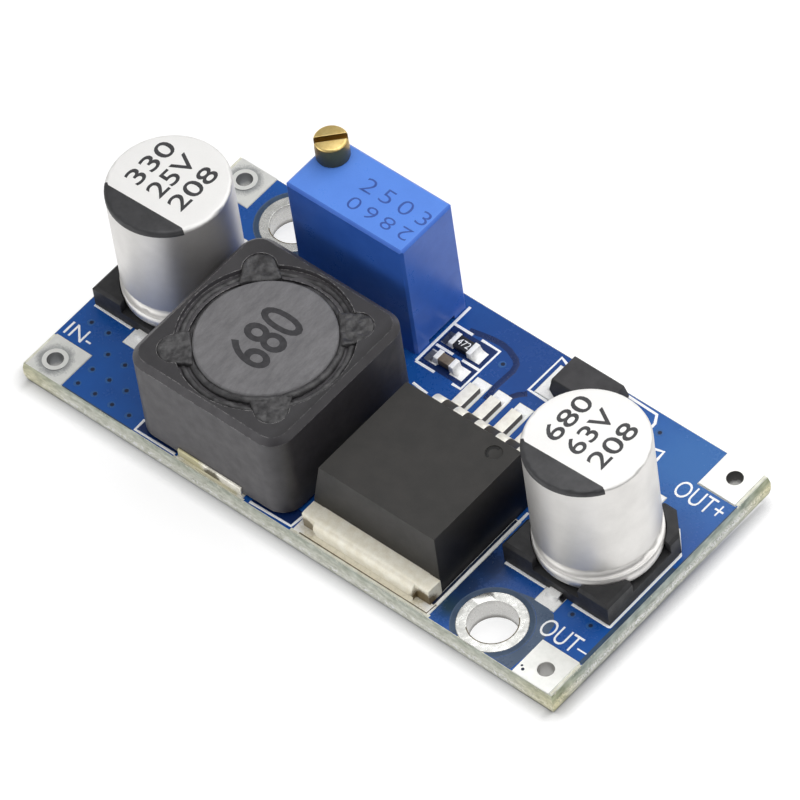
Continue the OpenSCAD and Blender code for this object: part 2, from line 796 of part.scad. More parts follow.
module inductor_winding() {
    low = clip_t + drum_flange_t + fit_gap;
    span = ind_body_h - 2 * drum_flange_t - 2 * fit_gap;
    wire_r = span / winding_turns / 2;
    outer = drum_d / 2 - 0.35 - wire_r;
    color("#b5713a") at_inductor() translate([0, 0, low]) rotate_extrude()
        polygon(concat(
            [[drum_post_d / 2 + fit_gap, 0]],
            [for (i = [0 : winding_turns - 1]) each arc([outer, (2 * i + 1) * wire_r], wire_r, -90, 90, 6)],
            [[drum_post_d / 2 + fit_gap, span]]
        ));
}

// Side view of a terminal clip: under the body, then up its end face
module clip_side() {
    wall = ind_w / 2;
    polygon([
        [wall - clip_under, 0], [wall + clip_reach, 0], [wall + clip_reach, clip_h - 0.1],
        [wall + clip_reach - 0.1, clip_h], [wall, clip_h], [wall, clip_t], [wall - clip_under, clip_t]
    ]);
}

module inductor_terminals() {
    color("#d8d6cc") at_inductor() {
        for (s = [0, 1]) mirror([0, s, 0]) along_x(clip_w) clip_side();
    }
}

module inductor_adhesive() {
    fill = 0.12;
    color("#77777a") at_inductor() {
        for (a = [45 : 90 : 315]) {
            rotate(a) translate([0, 0, ind_h - shield_step_d])
                pocket(drum_d / 2 + 0.12, 0.1, shield_step_d - fill);
        }
    }
}

// Capacitors

module at_cap(x) translate([x, 0, seat_z]) children();

// Half section of the can: rolled lip, groove, straight wall, rounded top edge
module can_section() {
    chord = groove_h / 2;
    sweep_r = (chord * chord + groove_d * groove_d) / (2 * groove_d);
    sweep = asin(chord / sweep_r);
    shoulder_z = groove_z + chord;
    polygon(concat(
        arc([mouth_r, base_t + lip_r], lip_r, 270, 360),
        [[can_r + lip_flare, groove_z - chord]],
        arc([can_r + sweep_r - groove_d, groove_z], sweep_r, 180 + sweep, 180 - sweep, 10),
        arc([can_r - can_edge, cap_h - can_edge], can_edge, 0, 90, 6),
        [
            [0, cap_h], [0, cap_h - can_wall], [can_r - can_wall, cap_h - can_wall],
            [can_r - can_wall, shoulder_z + can_wall], [mouth_r, shoulder_z]
        ]
    ));
}

module cap_can() rotate_extrude($fn = 96) can_section();

module lead_wires(grow, z, h) {
    for (s = [-1, 1]) {
        translate([0, s * cap_wire_offset, z]) cylinder(d = cap_wire_d + 2 * grow, h = h, $fn = 32);
    }
}

module cap_seal() {
    difference() {
        translate([0, 0, base_t]) cylinder(r = mouth_r - fit_gap, h = groove_z + groove_h / 2 - base_t);
        lead_wires(fit_gap, 0, cap_h);
    }
}

module cap_winding() {
    low = groove_z + groove_h / 2 + can_wall + fit_gap;
    translate([0, 0, low]) cylinder(r = can_r - can_wall - fit_gap, h = cap_h - can_wall - fit_gap - low);
}

module base_outline() {
    h = base_w / 2;
    c = base_chamfer;
    polygon([[-h, -h], [h, -h], [h, h - c], [h - c, h], [-h + c, h], [-h, h - c]]);
}

// Side view of the base, with its upper edges chamfered
module base_side() {
    h = base_w / 2;
    polygon([
        [-h, 0], [h, 0], [h, base_post_h - base_edge], [h - base_edge, base_post_h],
        [-h + base_edge, base_post_h], [-h, base_post_h - base_edge]
    ]);
}

module cap_base() {
    difference() {
        intersection() {
            linear_extrude(height = base_post_h) base_outline();
            along_x(base_w) base_side();
            along_y(base_w) base_side();
        }
        translate([0, 0, base_t]) cylinder(r = can_r + base_gap, h = cap_h);
        for (a = [0, 90]) {
            rotate(a) translate([0, 0, base_t]) slab(base_w - 2 * base_post_l, 2 * base_w, cap_h);
        }
        lead_wires(0.1, -lap, cap_h);
        for (s = [0, 1]) {
            mirror([0, s, 0]) translate([-cap_lead_w / 2 - lap, cap_wire_offset - cap_wire_d / 2 - 0.1, -lap])
                cube([cap_lead_w + 2 * lap, base_w, cap_lead_t + 2 * lap]);
        }
    }
}

module cap_leads() {
    top = groove_z + groove_h / 2 + can_wall;
    start = cap_wire_offset - cap_wire_d / 2;
    lead_wires(0, 0, top);
    for (s = [0, 1]) {
        mirror([0, s, 0]) translate([-cap_lead_w / 2, start, 0])
            cube([cap_lead_w, base_w / 2 + cap_lead_reach - start, cap_lead_t]);
    }
}

module input_cap_can() color("#cfcfce") at_cap(in_cap_x) cap_can();
module input_cap_seal() color("#2b2b2b") at_cap(in_cap_x) cap_seal();
module input_cap_winding() color("#b9b3a2") at_cap(in_cap_x) cap_winding();
module input_cap_base() color("#2a2a2b") at_cap(in_cap_x) cap_base();
module input_cap_leads() color("#dddcd6") at_cap(in_cap_x) cap_leads();
module output_cap_can() color("#cfcfce") at_cap(out_cap_x) cap_can();
module output_cap_seal() color("#2b2b2b") at_cap(out_cap_x) cap_seal();
module output_cap_winding() color("#b9b3a2") at_cap(out_cap_x) cap_winding();
module output_cap_base() color("#2a2a2b") at_cap(out_cap_x) cap_base();
module output_cap_leads() color("#dddcd6") at_cap(out_cap_x) cap_leads();

// Trimmer

module at_trimmer() translate([trim_x, trim_y, trim_z]) children();

// Profile of the housing from one side, with its upper edges chamfered
module housing_side(span) {
    c = trim_chamfer;
    polygon([
        [-span / 2, 0], [span / 2, 0], [span / 2, trim_h - c], [span / 2 - c, trim_h],
        [-span / 2 + c, trim_h], [-span / 2, trim_h - c]
    ]);
}

// Plan of the housing, with its upright edges chamfered
module housing_plan() {
    c = trim_chamfer;
    x = trim_l / 2;
    y = trim_d / 2;
    polygon([
        [-x + c, -y], [x - c, -y], [x, -y + c], [x, y - c],
        [x - c, y], [-x + c, y], [-x, y - c], [-x, -y + c]
    ]);
}

module trimmer_housing() {
    color("#2f63d8") at_trimmer() {
        difference() {
            intersection() {
                along_y(trim_d) housing_side(trim_l);
                along_x(trim_l) housing_side(trim_d);
                linear_extrude(height = trim_h) housing_plan();
            }
            difference() {
                translate([0, 0, -lap]) slab(cavity_l, cavity_d, trim_h - trim_top_t + lap);
                translate([screw_x, screw_y, trim_h - neck_h]) cylinder(d = boss_d, h = neck_h);
            }
            // Gaps between the feet
            translate([0, 0, -lap]) {
                slab(trim_l - 2.4, trim_d + 1, trim_foot + lap);
                slab(trim_l + 1, trim_d - 2.4, trim_foot + lap);
            }
            translate([screw_x, screw_y, trim_h - neck_h - lap])
                cylinder(d = screw_neck_d + 2 * running_gap, h = neck_h + 2 * lap);
        }
        // Post that carries the rotor
        post_front = rotor_front + 0.45;
        translate([rotor_x, post_front, rotor_z]) rotate([-90, 0, 0])
            cylinder(d = post_d, h = cavity_d / 2 + lap - post_front);
    }
}

module trimmer_screw() {
    groove_low = trim_h - trim_top_t - boss_h / 2 - ring_t / 2;
    head_low = trim_h + running_gap;
    edge = 0.12;
    color("#b8923f") at_trimmer() translate([screw_x, screw_y, 0]) difference() {
        rotate_extrude() polygon([
            [0, journal_foot + running_gap], [journal_d / 2, journal_foot + running_gap],
            [journal_d / 2, journal_top], [worm_d / 2, journal_top],
            [worm_d / 2, trim_h - neck_h - 0.1], [screw_neck_d / 2, trim_h - neck_h - 0.1],
            [screw_neck_d / 2, groove_low], [screw_neck_d / 2 - ring_t, groove_low],
            [screw_neck_d / 2 - ring_t, groove_low + ring_t], [screw_neck_d / 2, groove_low + ring_t],
            [screw_neck_d / 2, head_low], [screw_head_d / 2, head_low],
            [screw_head_d / 2, head_low + screw_head_h - edge],
            [screw_head_d / 2 - edge, head_low + screw_head_h], [0, head_low + screw_head_h]
        ]);
        translate([0, 0, head_low + screw_head_h - slot_d]) rotate(slot_turn)
            slab(screw_head_d + 1, slot_w, slot_d + 1);
    }
}

module trimmer_seal() {
    low = trim_h - trim_top_t - boss_h / 2;
    ring_r = ring_t / 2 - fit_gap / 2;
    color("#8a3b2e") at_trimmer() translate([screw_x, screw_y, low])
        rotate_extrude() translate([screw_neck_d / 2 - ring_t / 2, 0]) circle(r = ring_r, $fn = 24);
}

// Plan of the rotor's rim: straight-sided teeth round a disc
module toothed_rim() {
    tip = rotor_d / 2;
    root = tip - tooth_h;
    step = 360 / rotor_teeth;
    polygon([
        for (i = [0 : rotor_teeth - 1]) each [
            let (a = (i - 0.38) * step) [root * cos(a), root * sin(a)],
            let (a = (i - 0.16) * step) [tip * cos(a), tip * sin(a)],
            let (a = (i + 0.16) * step) [tip * cos(a), tip * sin(a)],
            let (a = (i + 0.38) * step) [root * cos(a), root * sin(a)]
        ]
    ]);
}

// The rotor's axis, pointing to the back of the trimmer
module at_rotor(y) at_trimmer() translate([rotor_x, y, rotor_z]) rotate([-90, 0, 0]) children();

module trimmer_rotor() {
    hub_d = rotor_d * 0.52;
    depth = rotor_back - rotor_front;
    color("#e8e4d8") at_rotor(rotor_front) difference() {
        union() {
            cylinder(d = hub_d, h = depth);
            translate([0, 0, depth - rotor_t]) linear_extrude(height = rotor_t) toothed_rim();
        }
        translate([0, 0, 0.4]) cylinder(d = post_d + 2 * running_gap, h = depth);
    }
}

module trimmer_wiper() {
    arm_w = 0.7;
    arm_reach = rotor_d / 2 - 0.8;
    color("#c8a45a") at_rotor(rotor_front - wiper_t) {
        cylinder(d = rotor_d * 0.4, h = wiper_t);
        translate([-arm_w / 2, 0, 0]) cube([arm_w, arm_reach, wiper_t]);
        translate([0, arm_reach - arm_w / 2, -wiper_dimple])
            cylinder(d = arm_w * 0.6, h = wiper_dimple + lap, $fn = 24);
    }
}

module trimmer_element() {
    low = trim_foot + trim_base_t;
    h = trim_h - trim_top_t - low - 0.15;
    color("#f0efe8") at_trimmer()
        translate([-cavity_l / 2 + 0.1, element_y, low]) cube([cavity_l - 0.2, element_t, h]);
}

module trimmer_base() {
    color("#3f6fb8") at_trimmer() difference() {
        translate([0, 0, trim_foot]) slab(cavity_l, cavity_d, trim_base_t);
        translate([screw_x, screw_y, journal_foot]) cylinder(d = journal_d + 2 * running_gap, h = trim_h);
        for (i = [-1 : 1]) {
            translate([i * pin_pitch, pin_y, -lap]) cylinder(d = pin_d, h = trim_h, $fn = 32);
        }
    }
}

module trimmer_pins() {
    top = trim_z + trim_foot + trim_base_t + 0.9;
    color("#d8d6cc") at_pins() cylinder(d = pin_d, h = top, $fn = 32);
}

// Diode

module at_diode() translate([diode_x, diode_y, seat_z]) children();

// Side view of a lead: out of the body at half height, down, and back under it
module diode_lead_side() {
    body = diode_l / 2;
    out = diode_span / 2;
    t = diode_lead_t;
    mid = diode_h / 2;
    under = 1.0;
    polygon([
        [body - 0.5, mid + t / 2], [out, mid + t / 2], [out, 0], [out - under, 0],
        [out - under, t], [out - t, t], [out - t, mid - t / 2], [body - 0.5, mid - t / 2]
    ]);
}

module diode_lead_pair() {
    for (s = [0, 1]) mirror([s, 0, 0]) along_y(diode_lead_w) diode_lead_side();
}

module diode_body() {
    stand = diode_lead_t;
    half = (diode_h - stand) / 2;
    color("#2e2c2e") at_diode() translate([0, 0, stand]) difference() {
        union() {
            translate([0, 0, half]) leaning_block(diode_l, diode_w, half, diode_lean);
            translate([0, 0, half]) mirror([0, 0, 1]) leaning_block(diode_l, diode_w, half, diode_lean);
        }
        translate([0, 0, -stand]) diode_lead_pair();
    }
}

module diode_leads() {
    color("#d6d4cc") at_diode() diode_lead_pair();
}

// Chip parts

// Ceramic of a chip part, thinner by the metal at its ends
module chip_core(l, w, h) {
    t = chip_end_t;
    translate([0, 0, t]) slab(l - 2 * t, w - 2 * t, h - 2 * t);
}

// The two metal ends that wrap a chip part
module chip_ends(l, w, h) {
    difference() {
        for (s = [-1, 1]) translate([s * (l - chip_end) / 2, 0, 0]) slab(chip_end, w, h);
        chip_core(l, w, h);
    }
}

module at_resistor() translate([chip_x, resistor_y, seat_z]) children();
module at_chip_cap() translate([chip_x, chip_cap_y, seat_z]) children();

module resistor_body() color("#262626") at_resistor() chip_core(resistor_l, resistor_w, resistor_h);
module resistor_terminals() color("#d8d8d4") at_resistor() chip_ends(resistor_l, resistor_w, resistor_h);
module chip_cap_body() color("#8d7d69") at_chip_cap() chip_core(chip_cap_l, chip_cap_w, chip_cap_h);
module chip_cap_terminals() color("#d8d8d4") at_chip_cap() chip_ends(chip_cap_l, chip_cap_w, chip_cap_h);

circuit_board();
solder_mask_top();
solder_mask_bottom();
terminal_pads();
mounting_eyelets();
component_lands();
plated_holes();
solder_joints();
regulator_body();
regulator_tab();
regulator_leads();
inductor_shield();
inductor_core();
inductor_winding();
inductor_terminals();
inductor_adhesive();
input_cap_can();
input_cap_seal();
input_cap_winding();
input_cap_base();
input_cap_leads();
output_cap_can();
output_cap_seal();
output_cap_winding();
output_cap_base();
output_cap_leads();
trimmer_housing();
trimmer_screw();
trimmer_seal();
trimmer_rotor();
trimmer_wiper();
trimmer_element();
trimmer_base();
trimmer_pins();
diode_body();
diode_leads();
resistor_body();
resistor_terminals();
chip_cap_body();
chip_cap_terminals();
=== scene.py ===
import math

import bmesh
import bpy
from mathutils import Matrix, Vector, noise


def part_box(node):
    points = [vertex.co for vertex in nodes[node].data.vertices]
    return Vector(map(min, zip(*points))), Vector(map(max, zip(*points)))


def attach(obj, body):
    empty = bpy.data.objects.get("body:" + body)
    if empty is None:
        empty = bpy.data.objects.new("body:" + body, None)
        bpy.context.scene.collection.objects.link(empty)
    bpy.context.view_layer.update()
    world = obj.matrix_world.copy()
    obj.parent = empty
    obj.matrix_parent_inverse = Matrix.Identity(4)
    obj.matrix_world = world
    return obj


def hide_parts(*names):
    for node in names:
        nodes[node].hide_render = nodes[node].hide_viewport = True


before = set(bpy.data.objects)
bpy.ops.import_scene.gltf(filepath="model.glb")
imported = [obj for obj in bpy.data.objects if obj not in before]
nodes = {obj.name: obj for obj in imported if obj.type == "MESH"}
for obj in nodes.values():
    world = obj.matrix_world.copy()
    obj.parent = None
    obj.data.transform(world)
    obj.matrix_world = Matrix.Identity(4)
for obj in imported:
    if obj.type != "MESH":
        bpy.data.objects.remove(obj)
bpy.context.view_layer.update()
scene = bpy.context.scene
mm = 0.001
weldGap = 0.0005 * mm           # points closer than this are one point
flatAngle = math.radians(0.4)   # faces that lean apart less than this are one face
print("frame loaded,", len(nodes), "nodes")


# small tools for picking, editing and finishing a piece

def newest():
    return bpy.context.view_layer.objects.active


def clearPick():
    if newest() and newest().mode != "OBJECT":
        bpy.ops.object.mode_set(mode="OBJECT")
    bpy.ops.object.select_all(action="DESELECT")


def pick(piece):
    clearPick()
    piece.select_set(True)
    bpy.context.view_layer.objects.active = piece


def openMesh(piece, kind="VERT", everything=True):
    pick(piece)
    bpy.ops.object.mode_set(mode="EDIT")
    bpy.ops.mesh.select_mode(type=kind)
    bpy.ops.mesh.select_all(action="SELECT" if everything else "DESELECT")


def pickAll():
    bpy.ops.mesh.select_all(action="SELECT")


def closeMesh():
    bpy.ops.object.mode_set(mode="OBJECT")


def applyModifiers(piece):
    pick(piece)
    for step in list(piece.modifiers):
        bpy.ops.object.modifier_apply(modifier=step.name)


def smoothShade(piece, degrees=60):
    pick(piece)
    bpy.ops.object.shade_smooth_by_angle(angle=math.radians(degrees))


def evenShade(piece):
    # flat faces keep their own shading beside small rounded edges
    even = piece.modifiers.new("even", "WEIGHTED_NORMAL")
    even.keep_sharp = True
    applyModifiers(piece)


def settle(piece):
    pick(piece)
    bpy.ops.object.transform_apply(location=True, rotation=True, scale=True)


def hand(piece, name, finish, body="board", node=None):
    piece.name = name
    piece.data.name = name
    piece.data.materials.clear()
    piece.data.materials.append(finish)
    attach(piece, body)
    if node:
        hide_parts(node)


def mergedCopy(node, name, flatten=True):
    # a CAD node's triangles welded, and joined into clean flat faces
    piece = bpy.data.objects.new(name, nodes[node].data.copy())
    scene.collection.objects.link(piece)
    openMesh(piece)
    bpy.ops.mesh.remove_doubles(threshold=weldGap)
    if flatten:
        bpy.ops.mesh.dissolve_limited(angle_limit=flatAngle)
    closeMesh()
    return piece


def roundEdges(piece, width, steps, degrees):
    bevel = piece.modifiers.new("edge", "BEVEL")
    bevel.width = width * mm
    bevel.segments = steps
    bevel.limit_method = "ANGLE"
    bevel.angle_limit = math.radians(degrees)
    applyModifiers(piece)


def dress(node, finish, name=None, edge=0.0, steps=2, body="board", degrees=32, flatten=True):
    # a finished copy in place of a CAD node, called as the node is unless it has a name of its own
    first, *others = node.split("_")
    name = name or first + "".join(word.title() for word in others)
    piece = mergedCopy(node, name, flatten)
    if edge:
        roundEdges(piece, edge, steps, degrees)
    smoothShade(piece, degrees)
    evenShade(piece)
    hand(piece, name, finish, body, node)


# node tools

def feed(tree, socket, value):
    if isinstance(value, bpy.types.NodeSocket):
        tree.links.new(value, socket)
    else:
        socket.default_value = value


def addNode(tree, kind, values=None, **settings):
    node = tree.nodes.new("ShaderNode" + kind)
    for key, value in settings.items():
        setattr(node, key, value)
    for key, value in (values or {}).items():
        feed(tree, node.inputs[key], value)
    return node


def calc(tree, operation, *values):
    node = addNode(tree, "Math", operation=operation)
    for socket, value in zip(node.inputs, values):
        feed(tree, socket, value)
    return node.outputs[0]


def remap(tree, value, low, high, toLow=0.0, toHigh=1.0):
    node = addNode(tree, "MapRange")
    for socket, number in zip(node.inputs[:5], (value, low, high, toLow, toHigh)):
        feed(tree, socket, number)
    return node.outputs[0]


def blendColours(tree, factor, first, second, way="MIX"):
    node = addNode(tree, "Mix", data_type="RGBA", blend_type=way)
    for place, value in ((0, factor), (6, first), (7, second)):
        feed(tree, node.inputs[place], value)
    return node.outputs[2]


def speckle(tree, vector, size, detail, sharp=0.55):
    node = addNode(tree, "TexNoise", {"Scale": size, "Detail": detail, "Roughness": sharp})
    tree.links.new(vector, node.inputs["Vector"])
    return node.outputs["Fac"]


def axisOf(tree, vector, axis):
    return addNode(tree, "SeparateXYZ", {0: vector}).outputs[axis]


def grey(tree, value):
    return addNode(tree, "CombineColor", {0: value, 1: value, 2: value}).outputs[0]


def newGroup(name, inputs, outputs):
    group = bpy.data.node_groups.new(name, "ShaderNodeTree")
    for way, sockets in (("INPUT", inputs), ("OUTPUT", outputs)):
        for label, kind in sockets:
            group.interface.new_socket(name=label, in_out=way, socket_type="NodeSocket" + kind)
    return group, group.nodes.new("NodeGroupInput").outputs, group.nodes.new("NodeGroupOutput").inputs


def placeGroup(tree, group, values):
    node = tree.nodes.new("ShaderNodeGroup")
    node.node_tree = group
    for key, value in values.items():
        feed(tree, node.inputs[key], value)
    return node.outputs


def tone(red, green, blue):
    # a colour as it reads on screen, 0 to 255
    parts = [value / 255 for value in (red, green, blue)]
    parts = [p / 12.92 if p < 0.04045 else ((p + 0.055) / 1.055) ** 2.4 for p in parts]
    return (*parts, 1.0)


# how the finishes below are mixed
rule = {
    "patchCut": (0.32, 0.68), "grainShare": 0.6, "patchShare": 0.4, "roughCut": (0.2, 0.8),
    "rubTurn": (0.01, 0.16), "rubGaps": (0.42, 0.62),
    "wallSlope": (0.35, 0.6), "wallSoft": 0.02,   # how far a wall may lean, and the blur of its top in mm
    # the stain marks below are partly stains and partly painted shade
    "stainLevel": 2.4, "stainRagged": 0.5,        # height of the stains in mm, and how uneven they are
    "stainCore": 0.7, "lightPatchCore": 0.25,          # share of their reach that is at full strength
    "lidSoft": 0.05, "lidFlat": 0.97, "bandWander": 0.12, "tornSoft": 0.05,
}

# every surface shares this: cloudy patches, a fine grain and a roughness that follows both
tree, given, result = newGroup(
    "surfaceFinish",
    [("Vector", "Vector"), ("Stretch", "Vector"), ("Light", "Color"), ("Dark", "Color"),
     ("Patch Scale", "Float"), ("Grain Scale", "Float"), ("Grain Amount", "Float"),
     ("Rough Low", "Float"), ("Rough High", "Float")],
    [("Color", "Color"), ("Roughness", "Float"), ("Height", "Float")])
stretched = addNode(tree, "VectorMath", {0: given["Vector"], 1: given["Stretch"]},
                    operation="MULTIPLY").outputs[0]
patch = remap(tree, speckle(tree, stretched, given["Patch Scale"], 4.0), *rule["patchCut"])
grain = speckle(tree, stretched, given["Grain Scale"], 2.0, 0.6)
cloud = blendColours(tree, patch, given["Light"], given["Dark"])
uneven = calc(tree, "SUBTRACT", grain, 0.5)
lift = calc(tree, "MULTIPLY_ADD", uneven, given["Grain Amount"], 1.0)
feed(tree, result["Color"], blendColours(tree, 1.0, cloud, grey(tree, lift), "MULTIPLY"))
mixed = calc(tree, "ADD", calc(tree, "MULTIPLY", grain, rule["grainShare"]),
             calc(tree, "MULTIPLY", patch, rule["patchShare"]))
feed(tree, result["Roughness"],
     remap(tree, mixed, *rule["roughCut"], given["Rough Low"], given["Rough High"]))
feed(tree, result["Height"], mixed)
surfaceGroup = tree

# bright, broken lines along edges: rubbed wear, and on the regulator and the inductor a painted highlight
tree, given, result = newGroup(
    "edgeRubAndGlint",
    [("Vector", "Vector"), ("Width", "Float"), ("Breakup Scale", "Float"), ("Amount", "Float")],
    [("Mask", "Float")])
bevelled = addNode(tree, "Bevel", {"Radius": given["Width"]}, samples=4).outputs[0]
facing = addNode(tree, "NewGeometry").outputs["Normal"]
turned = addNode(tree, "VectorMath", {0: bevelled, 1: facing}, operation="DOT_PRODUCT").outputs["Value"]
edge = remap(tree, calc(tree, "SUBTRACT", 1.0, turned), *rule["rubTurn"])
broken = remap(tree, speckle(tree, given["Vector"], given["Breakup Scale"], 4.0), *rule["rubGaps"])
worn = calc(tree, "MULTIPLY", edge, broken)
feed(tree, result["Mask"], calc(tree, "MULTIPLY", worn, given["Amount"]))
rubAndGlintGroup = tree


# what a finish can have on top of its surface: each effect takes the colour so far and gives the next

def unevenly(tree, made, spread, value):
    return calc(tree, "MULTIPLY_ADD", calc(tree, "SUBTRACT", made["Height"], 0.5), spread * mm, value)


def facingUp(tree):
    return axisOf(tree, addNode(tree, "NewGeometry").outputs["Normal"], "Z")


def wallPaintedShade(tree, spot, made, colour, walls):
    # painted shade: steep faces below a level, such as a hole's barrel, are darker, and darkest at their
    # foot
    rise = axisOf(tree, spot, "Z")
    level = calc(tree, "ABSOLUTE", facingUp(tree))
    top = walls["below"]
    steep = calc(tree, "MULTIPLY", remap(tree, level, *rule["wallSlope"], 1.0, 0.0),
                 remap(tree, rise, (top - rule["wallSoft"]) * mm, top * mm, 1.0, 0.0))
    foot = remap(tree, rise, walls["foot"][0] * mm, walls["foot"][1] * mm)
    shade = blendColours(tree, foot, tone(*walls["low"]), tone(*walls["high"]))
    return blendColours(tree, steep, colour, shade)


def stainAndShadeMarks(tree, spot, made, colour, marks, core=rule["stainCore"]):
    # stains and painted shade on the board, dark in the middle and faded at their reach
    for x, y, reach, shade in marks:
        centre = (x * mm, y * mm, rule["stainLevel"] * mm)
        away = addNode(tree, "VectorMath", {0: spot, 1: centre}, operation="DISTANCE").outputs["Value"]
        ragged = unevenly(tree, made, rule["stainRagged"] * reach, away)
        share = remap(tree, ragged, core * reach * mm, reach * mm, 1.0, 0.0)
        colour = blendColours(tree, share, colour, tone(*shade))
    return colour


def lightAndShadeTint(tree, spot, made, colour, marks):
    # painted light and shade on the lacquer, fading from near their middle
    return stainAndShadeMarks(tree, spot, made, colour, marks, rule["lightPatchCore"])


def topLightShadeTint(tree, spot, made, colour, lid):
    # faces that look up, above a level, have two tones of their own and are less metallic: a painted top
    # light on some parts and a painted top shade on others
    rise = axisOf(tree, spot, "Z")
    top = calc(tree, "MULTIPLY",
               remap(tree, rise, (lid["level"] - rule["lidSoft"]) * mm, lid["level"] * mm),
               remap(tree, facingUp(tree), lid["slope"], rule["lidFlat"]))
    metallic = tree.nodes["Principled BSDF"].inputs["Metallic"]
    feed(tree, metallic, remap(tree, top, 0.0, 1.0, metallic.default_value, lid["metallic"]))
    pale = blendColours(tree, made["Height"], tone(*lid["light"]), tone(*lid["dark"]))
    return blendColours(tree, top, colour, pale)


def rubAndGlintTint(tree, spot, made, colour, rub):
    mask = placeGroup(tree, rubAndGlintGroup, {
        "Vector": spot, "Width": rub["width"] * mm,
        "Breakup Scale": 1 / (rub["breakup"] * mm), "Amount": rub["amount"]})["Mask"]
    return blendColours(tree, mask, colour, tone(*rub["colour"]))


def bandShade(tree, spot, made, colour, bands):
    # the colours met going up, blended between their heights, the borders wandering a little
    rise = unevenly(tree, made, rule["bandWander"], axisOf(tree, spot, "Z"))
    ramp = tone(*bands[0][1])
    for (low, _), (high, shade) in zip(bands, bands[1:]):
        ramp = blendColours(tree, remap(tree, rise, low * mm, high * mm), ramp, tone(*shade))
    return blendColours(tree, 1.0, colour, ramp, "MULTIPLY")


def tornShade(tree, spot, made, colour, torn):
    # bright fragments along one height
    soft = rule["tornSoft"]
    away = calc(tree, "ABSOLUTE", calc(tree, "SUBTRACT", axisOf(tree, spot, "Z"), torn["level"] * mm))
    chips = speckle(tree, spot, 1 / (torn["size"] * mm), 3.0)
    chips = remap(tree, chips, torn["share"], torn["share"] + soft)
    near = remap(tree, away, soft * mm, torn["reach"] * mm, 1.0, 0.0)
    return blendColours(tree, calc(tree, "MULTIPLY", chips, near), colour, tone(*torn["colour"]))


def endShade(tree, spot, made, colour, ends):
    # another tint near both ends along one axis
    reach = calc(tree, "ABSOLUTE", axisOf(tree, spot, ends["axis"]))
    tinted = blendColours(tree, 1.0, colour, tone(*ends["tint"]), "MULTIPLY")
    return blendColours(tree, remap(tree, reach, ends["from"] * mm, ends["to"] * mm), colour, tinted)


effectOrder = {"walls": wallPaintedShade, "stains": stainAndShadeMarks, "smears": lightAndShadeTint, "lid": topLightShadeTint,
               "rub": rubAndGlintTint, "bands": bandShade, "torn": tornShade, "ends": endShade}


def paint(name, light, dark, patch, grain, rough, bump, metallic=0.0, specular=0.5,
          stretch=(1.0, 1.0, 1.0), **effects):
    # two screen colours, patch size, grain size and strength, roughness range, bump depth; sizes in mm
    return {"name": name, "light": light, "dark": dark, "patch": patch, "grain": grain, "rough": rough,
            "bump": bump, "metallic": metallic, "specular": specular, "stretch": stretch,
            "effects": effects}


def makeFinish(look):
    material = bpy.data.materials.new(look["name"])
    material.use_nodes = True
    tree = material.node_tree
    shader = tree.nodes["Principled BSDF"]
    spot = addNode(tree, "TexCoord").outputs["Object"]
    made = placeGroup(tree, surfaceGroup, {
        "Vector": spot, "Stretch": look["stretch"],
        "Light": tone(*look["light"]), "Dark": tone(*look["dark"]),
        "Patch Scale": 1 / (look["patch"] * mm), "Grain Scale": 1 / (look["grain"][0] * mm),
        "Grain Amount": look["grain"][1],
        "Rough Low": look["rough"][0], "Rough High": look["rough"][1]})
    shader.inputs["Metallic"].default_value = look["metallic"]
    shader.inputs["Specular IOR Level"].default_value = look["specular"]
    colour = made["Color"]
    for key, effect in effectOrder.items():
        if key in look["effects"]:
            colour = effect(tree, spot, made, colour, look["effects"][key])
    feed(tree, shader.inputs["Base Color"], colour)
    feed(tree, shader.inputs["Roughness"], made["Roughness"])
    bump = addNode(tree, "Bump", {"Height": made["Height"], "Strength": 1.0, "Distance": look["bump"] * mm})
    feed(tree, shader.inputs["Normal"], bump.outputs[0])
    return material


def mixPaints(looks):
    # a finish for every paint in a piece's dictionary
    return {key: makeFinish(look) for key, look in looks.items()
            if isinstance(look, dict) and "effects" in look}


def coverNode(node, finish):
    for holder in nodes[node].material_slots:
        holder.material = finish


# printed lettering, ink lines and films

def printText(name, mark, finish):
    clearPick()
    bpy.ops.object.text_add(location=(0, 0, 0))
    piece = newest()
    piece.data.body = mark["text"]
    piece.data.align_x = "CENTER"
    piece.data.align_y = "CENTER"
    piece.data.resolution_u = 4
    piece.data.offset = mark["bold"]
    piece.data.extrude = 0.5   # any depth does, as the resize sets it
    piece.data.space_character = mark.get("spacing", 1.0)
    bpy.ops.object.convert(target="MESH")
    piece = newest()
    low = [min(v.co[i] for v in piece.data.vertices) for i in range(3)]
    high = [max(v.co[i] for v in piece.data.vertices) for i in range(3)]
    wanted = (mark["length"], mark["height"], mark["ink"])
    openMesh(piece)
    bpy.ops.transform.translate(value=[-(low[i] + high[i]) / 2 for i in range(3)])
    bpy.ops.transform.resize(value=[wanted[i] * mm / (high[i] - low[i]) for i in range(3)],
                             center_override=(0, 0, 0))
    bpy.ops.mesh.remove_doubles(threshold=2 * weldGap)
    closeMesh()
    piece.rotation_euler = (0, 0, math.radians(mark.get("turn", 0)))
    piece.location = [value * mm for value in mark["centre"]]
    settle(piece)
    hand(piece, name, finish)


def drawLines(name, lines, closed, **settings):
    # points joined by straight strokes, thickened as the settings say
    sheet = bpy.data.curves.new(name, "CURVE")
    for key, value in settings.items():
        setattr(sheet, key, value)
    for points in lines:
        stroke = sheet.splines.new("POLY")
        stroke.points.add(len(points) - 1)
        stroke.use_cyclic_u = closed
        for knot, (x, y) in zip(stroke.points, points):
            knot.co = (x * mm, y * mm, 0, 1)
    piece = bpy.data.objects.new(name, sheet)
    scene.collection.objects.link(piece)
    pick(piece)
    bpy.ops.object.convert(target="MESH")
    return newest()


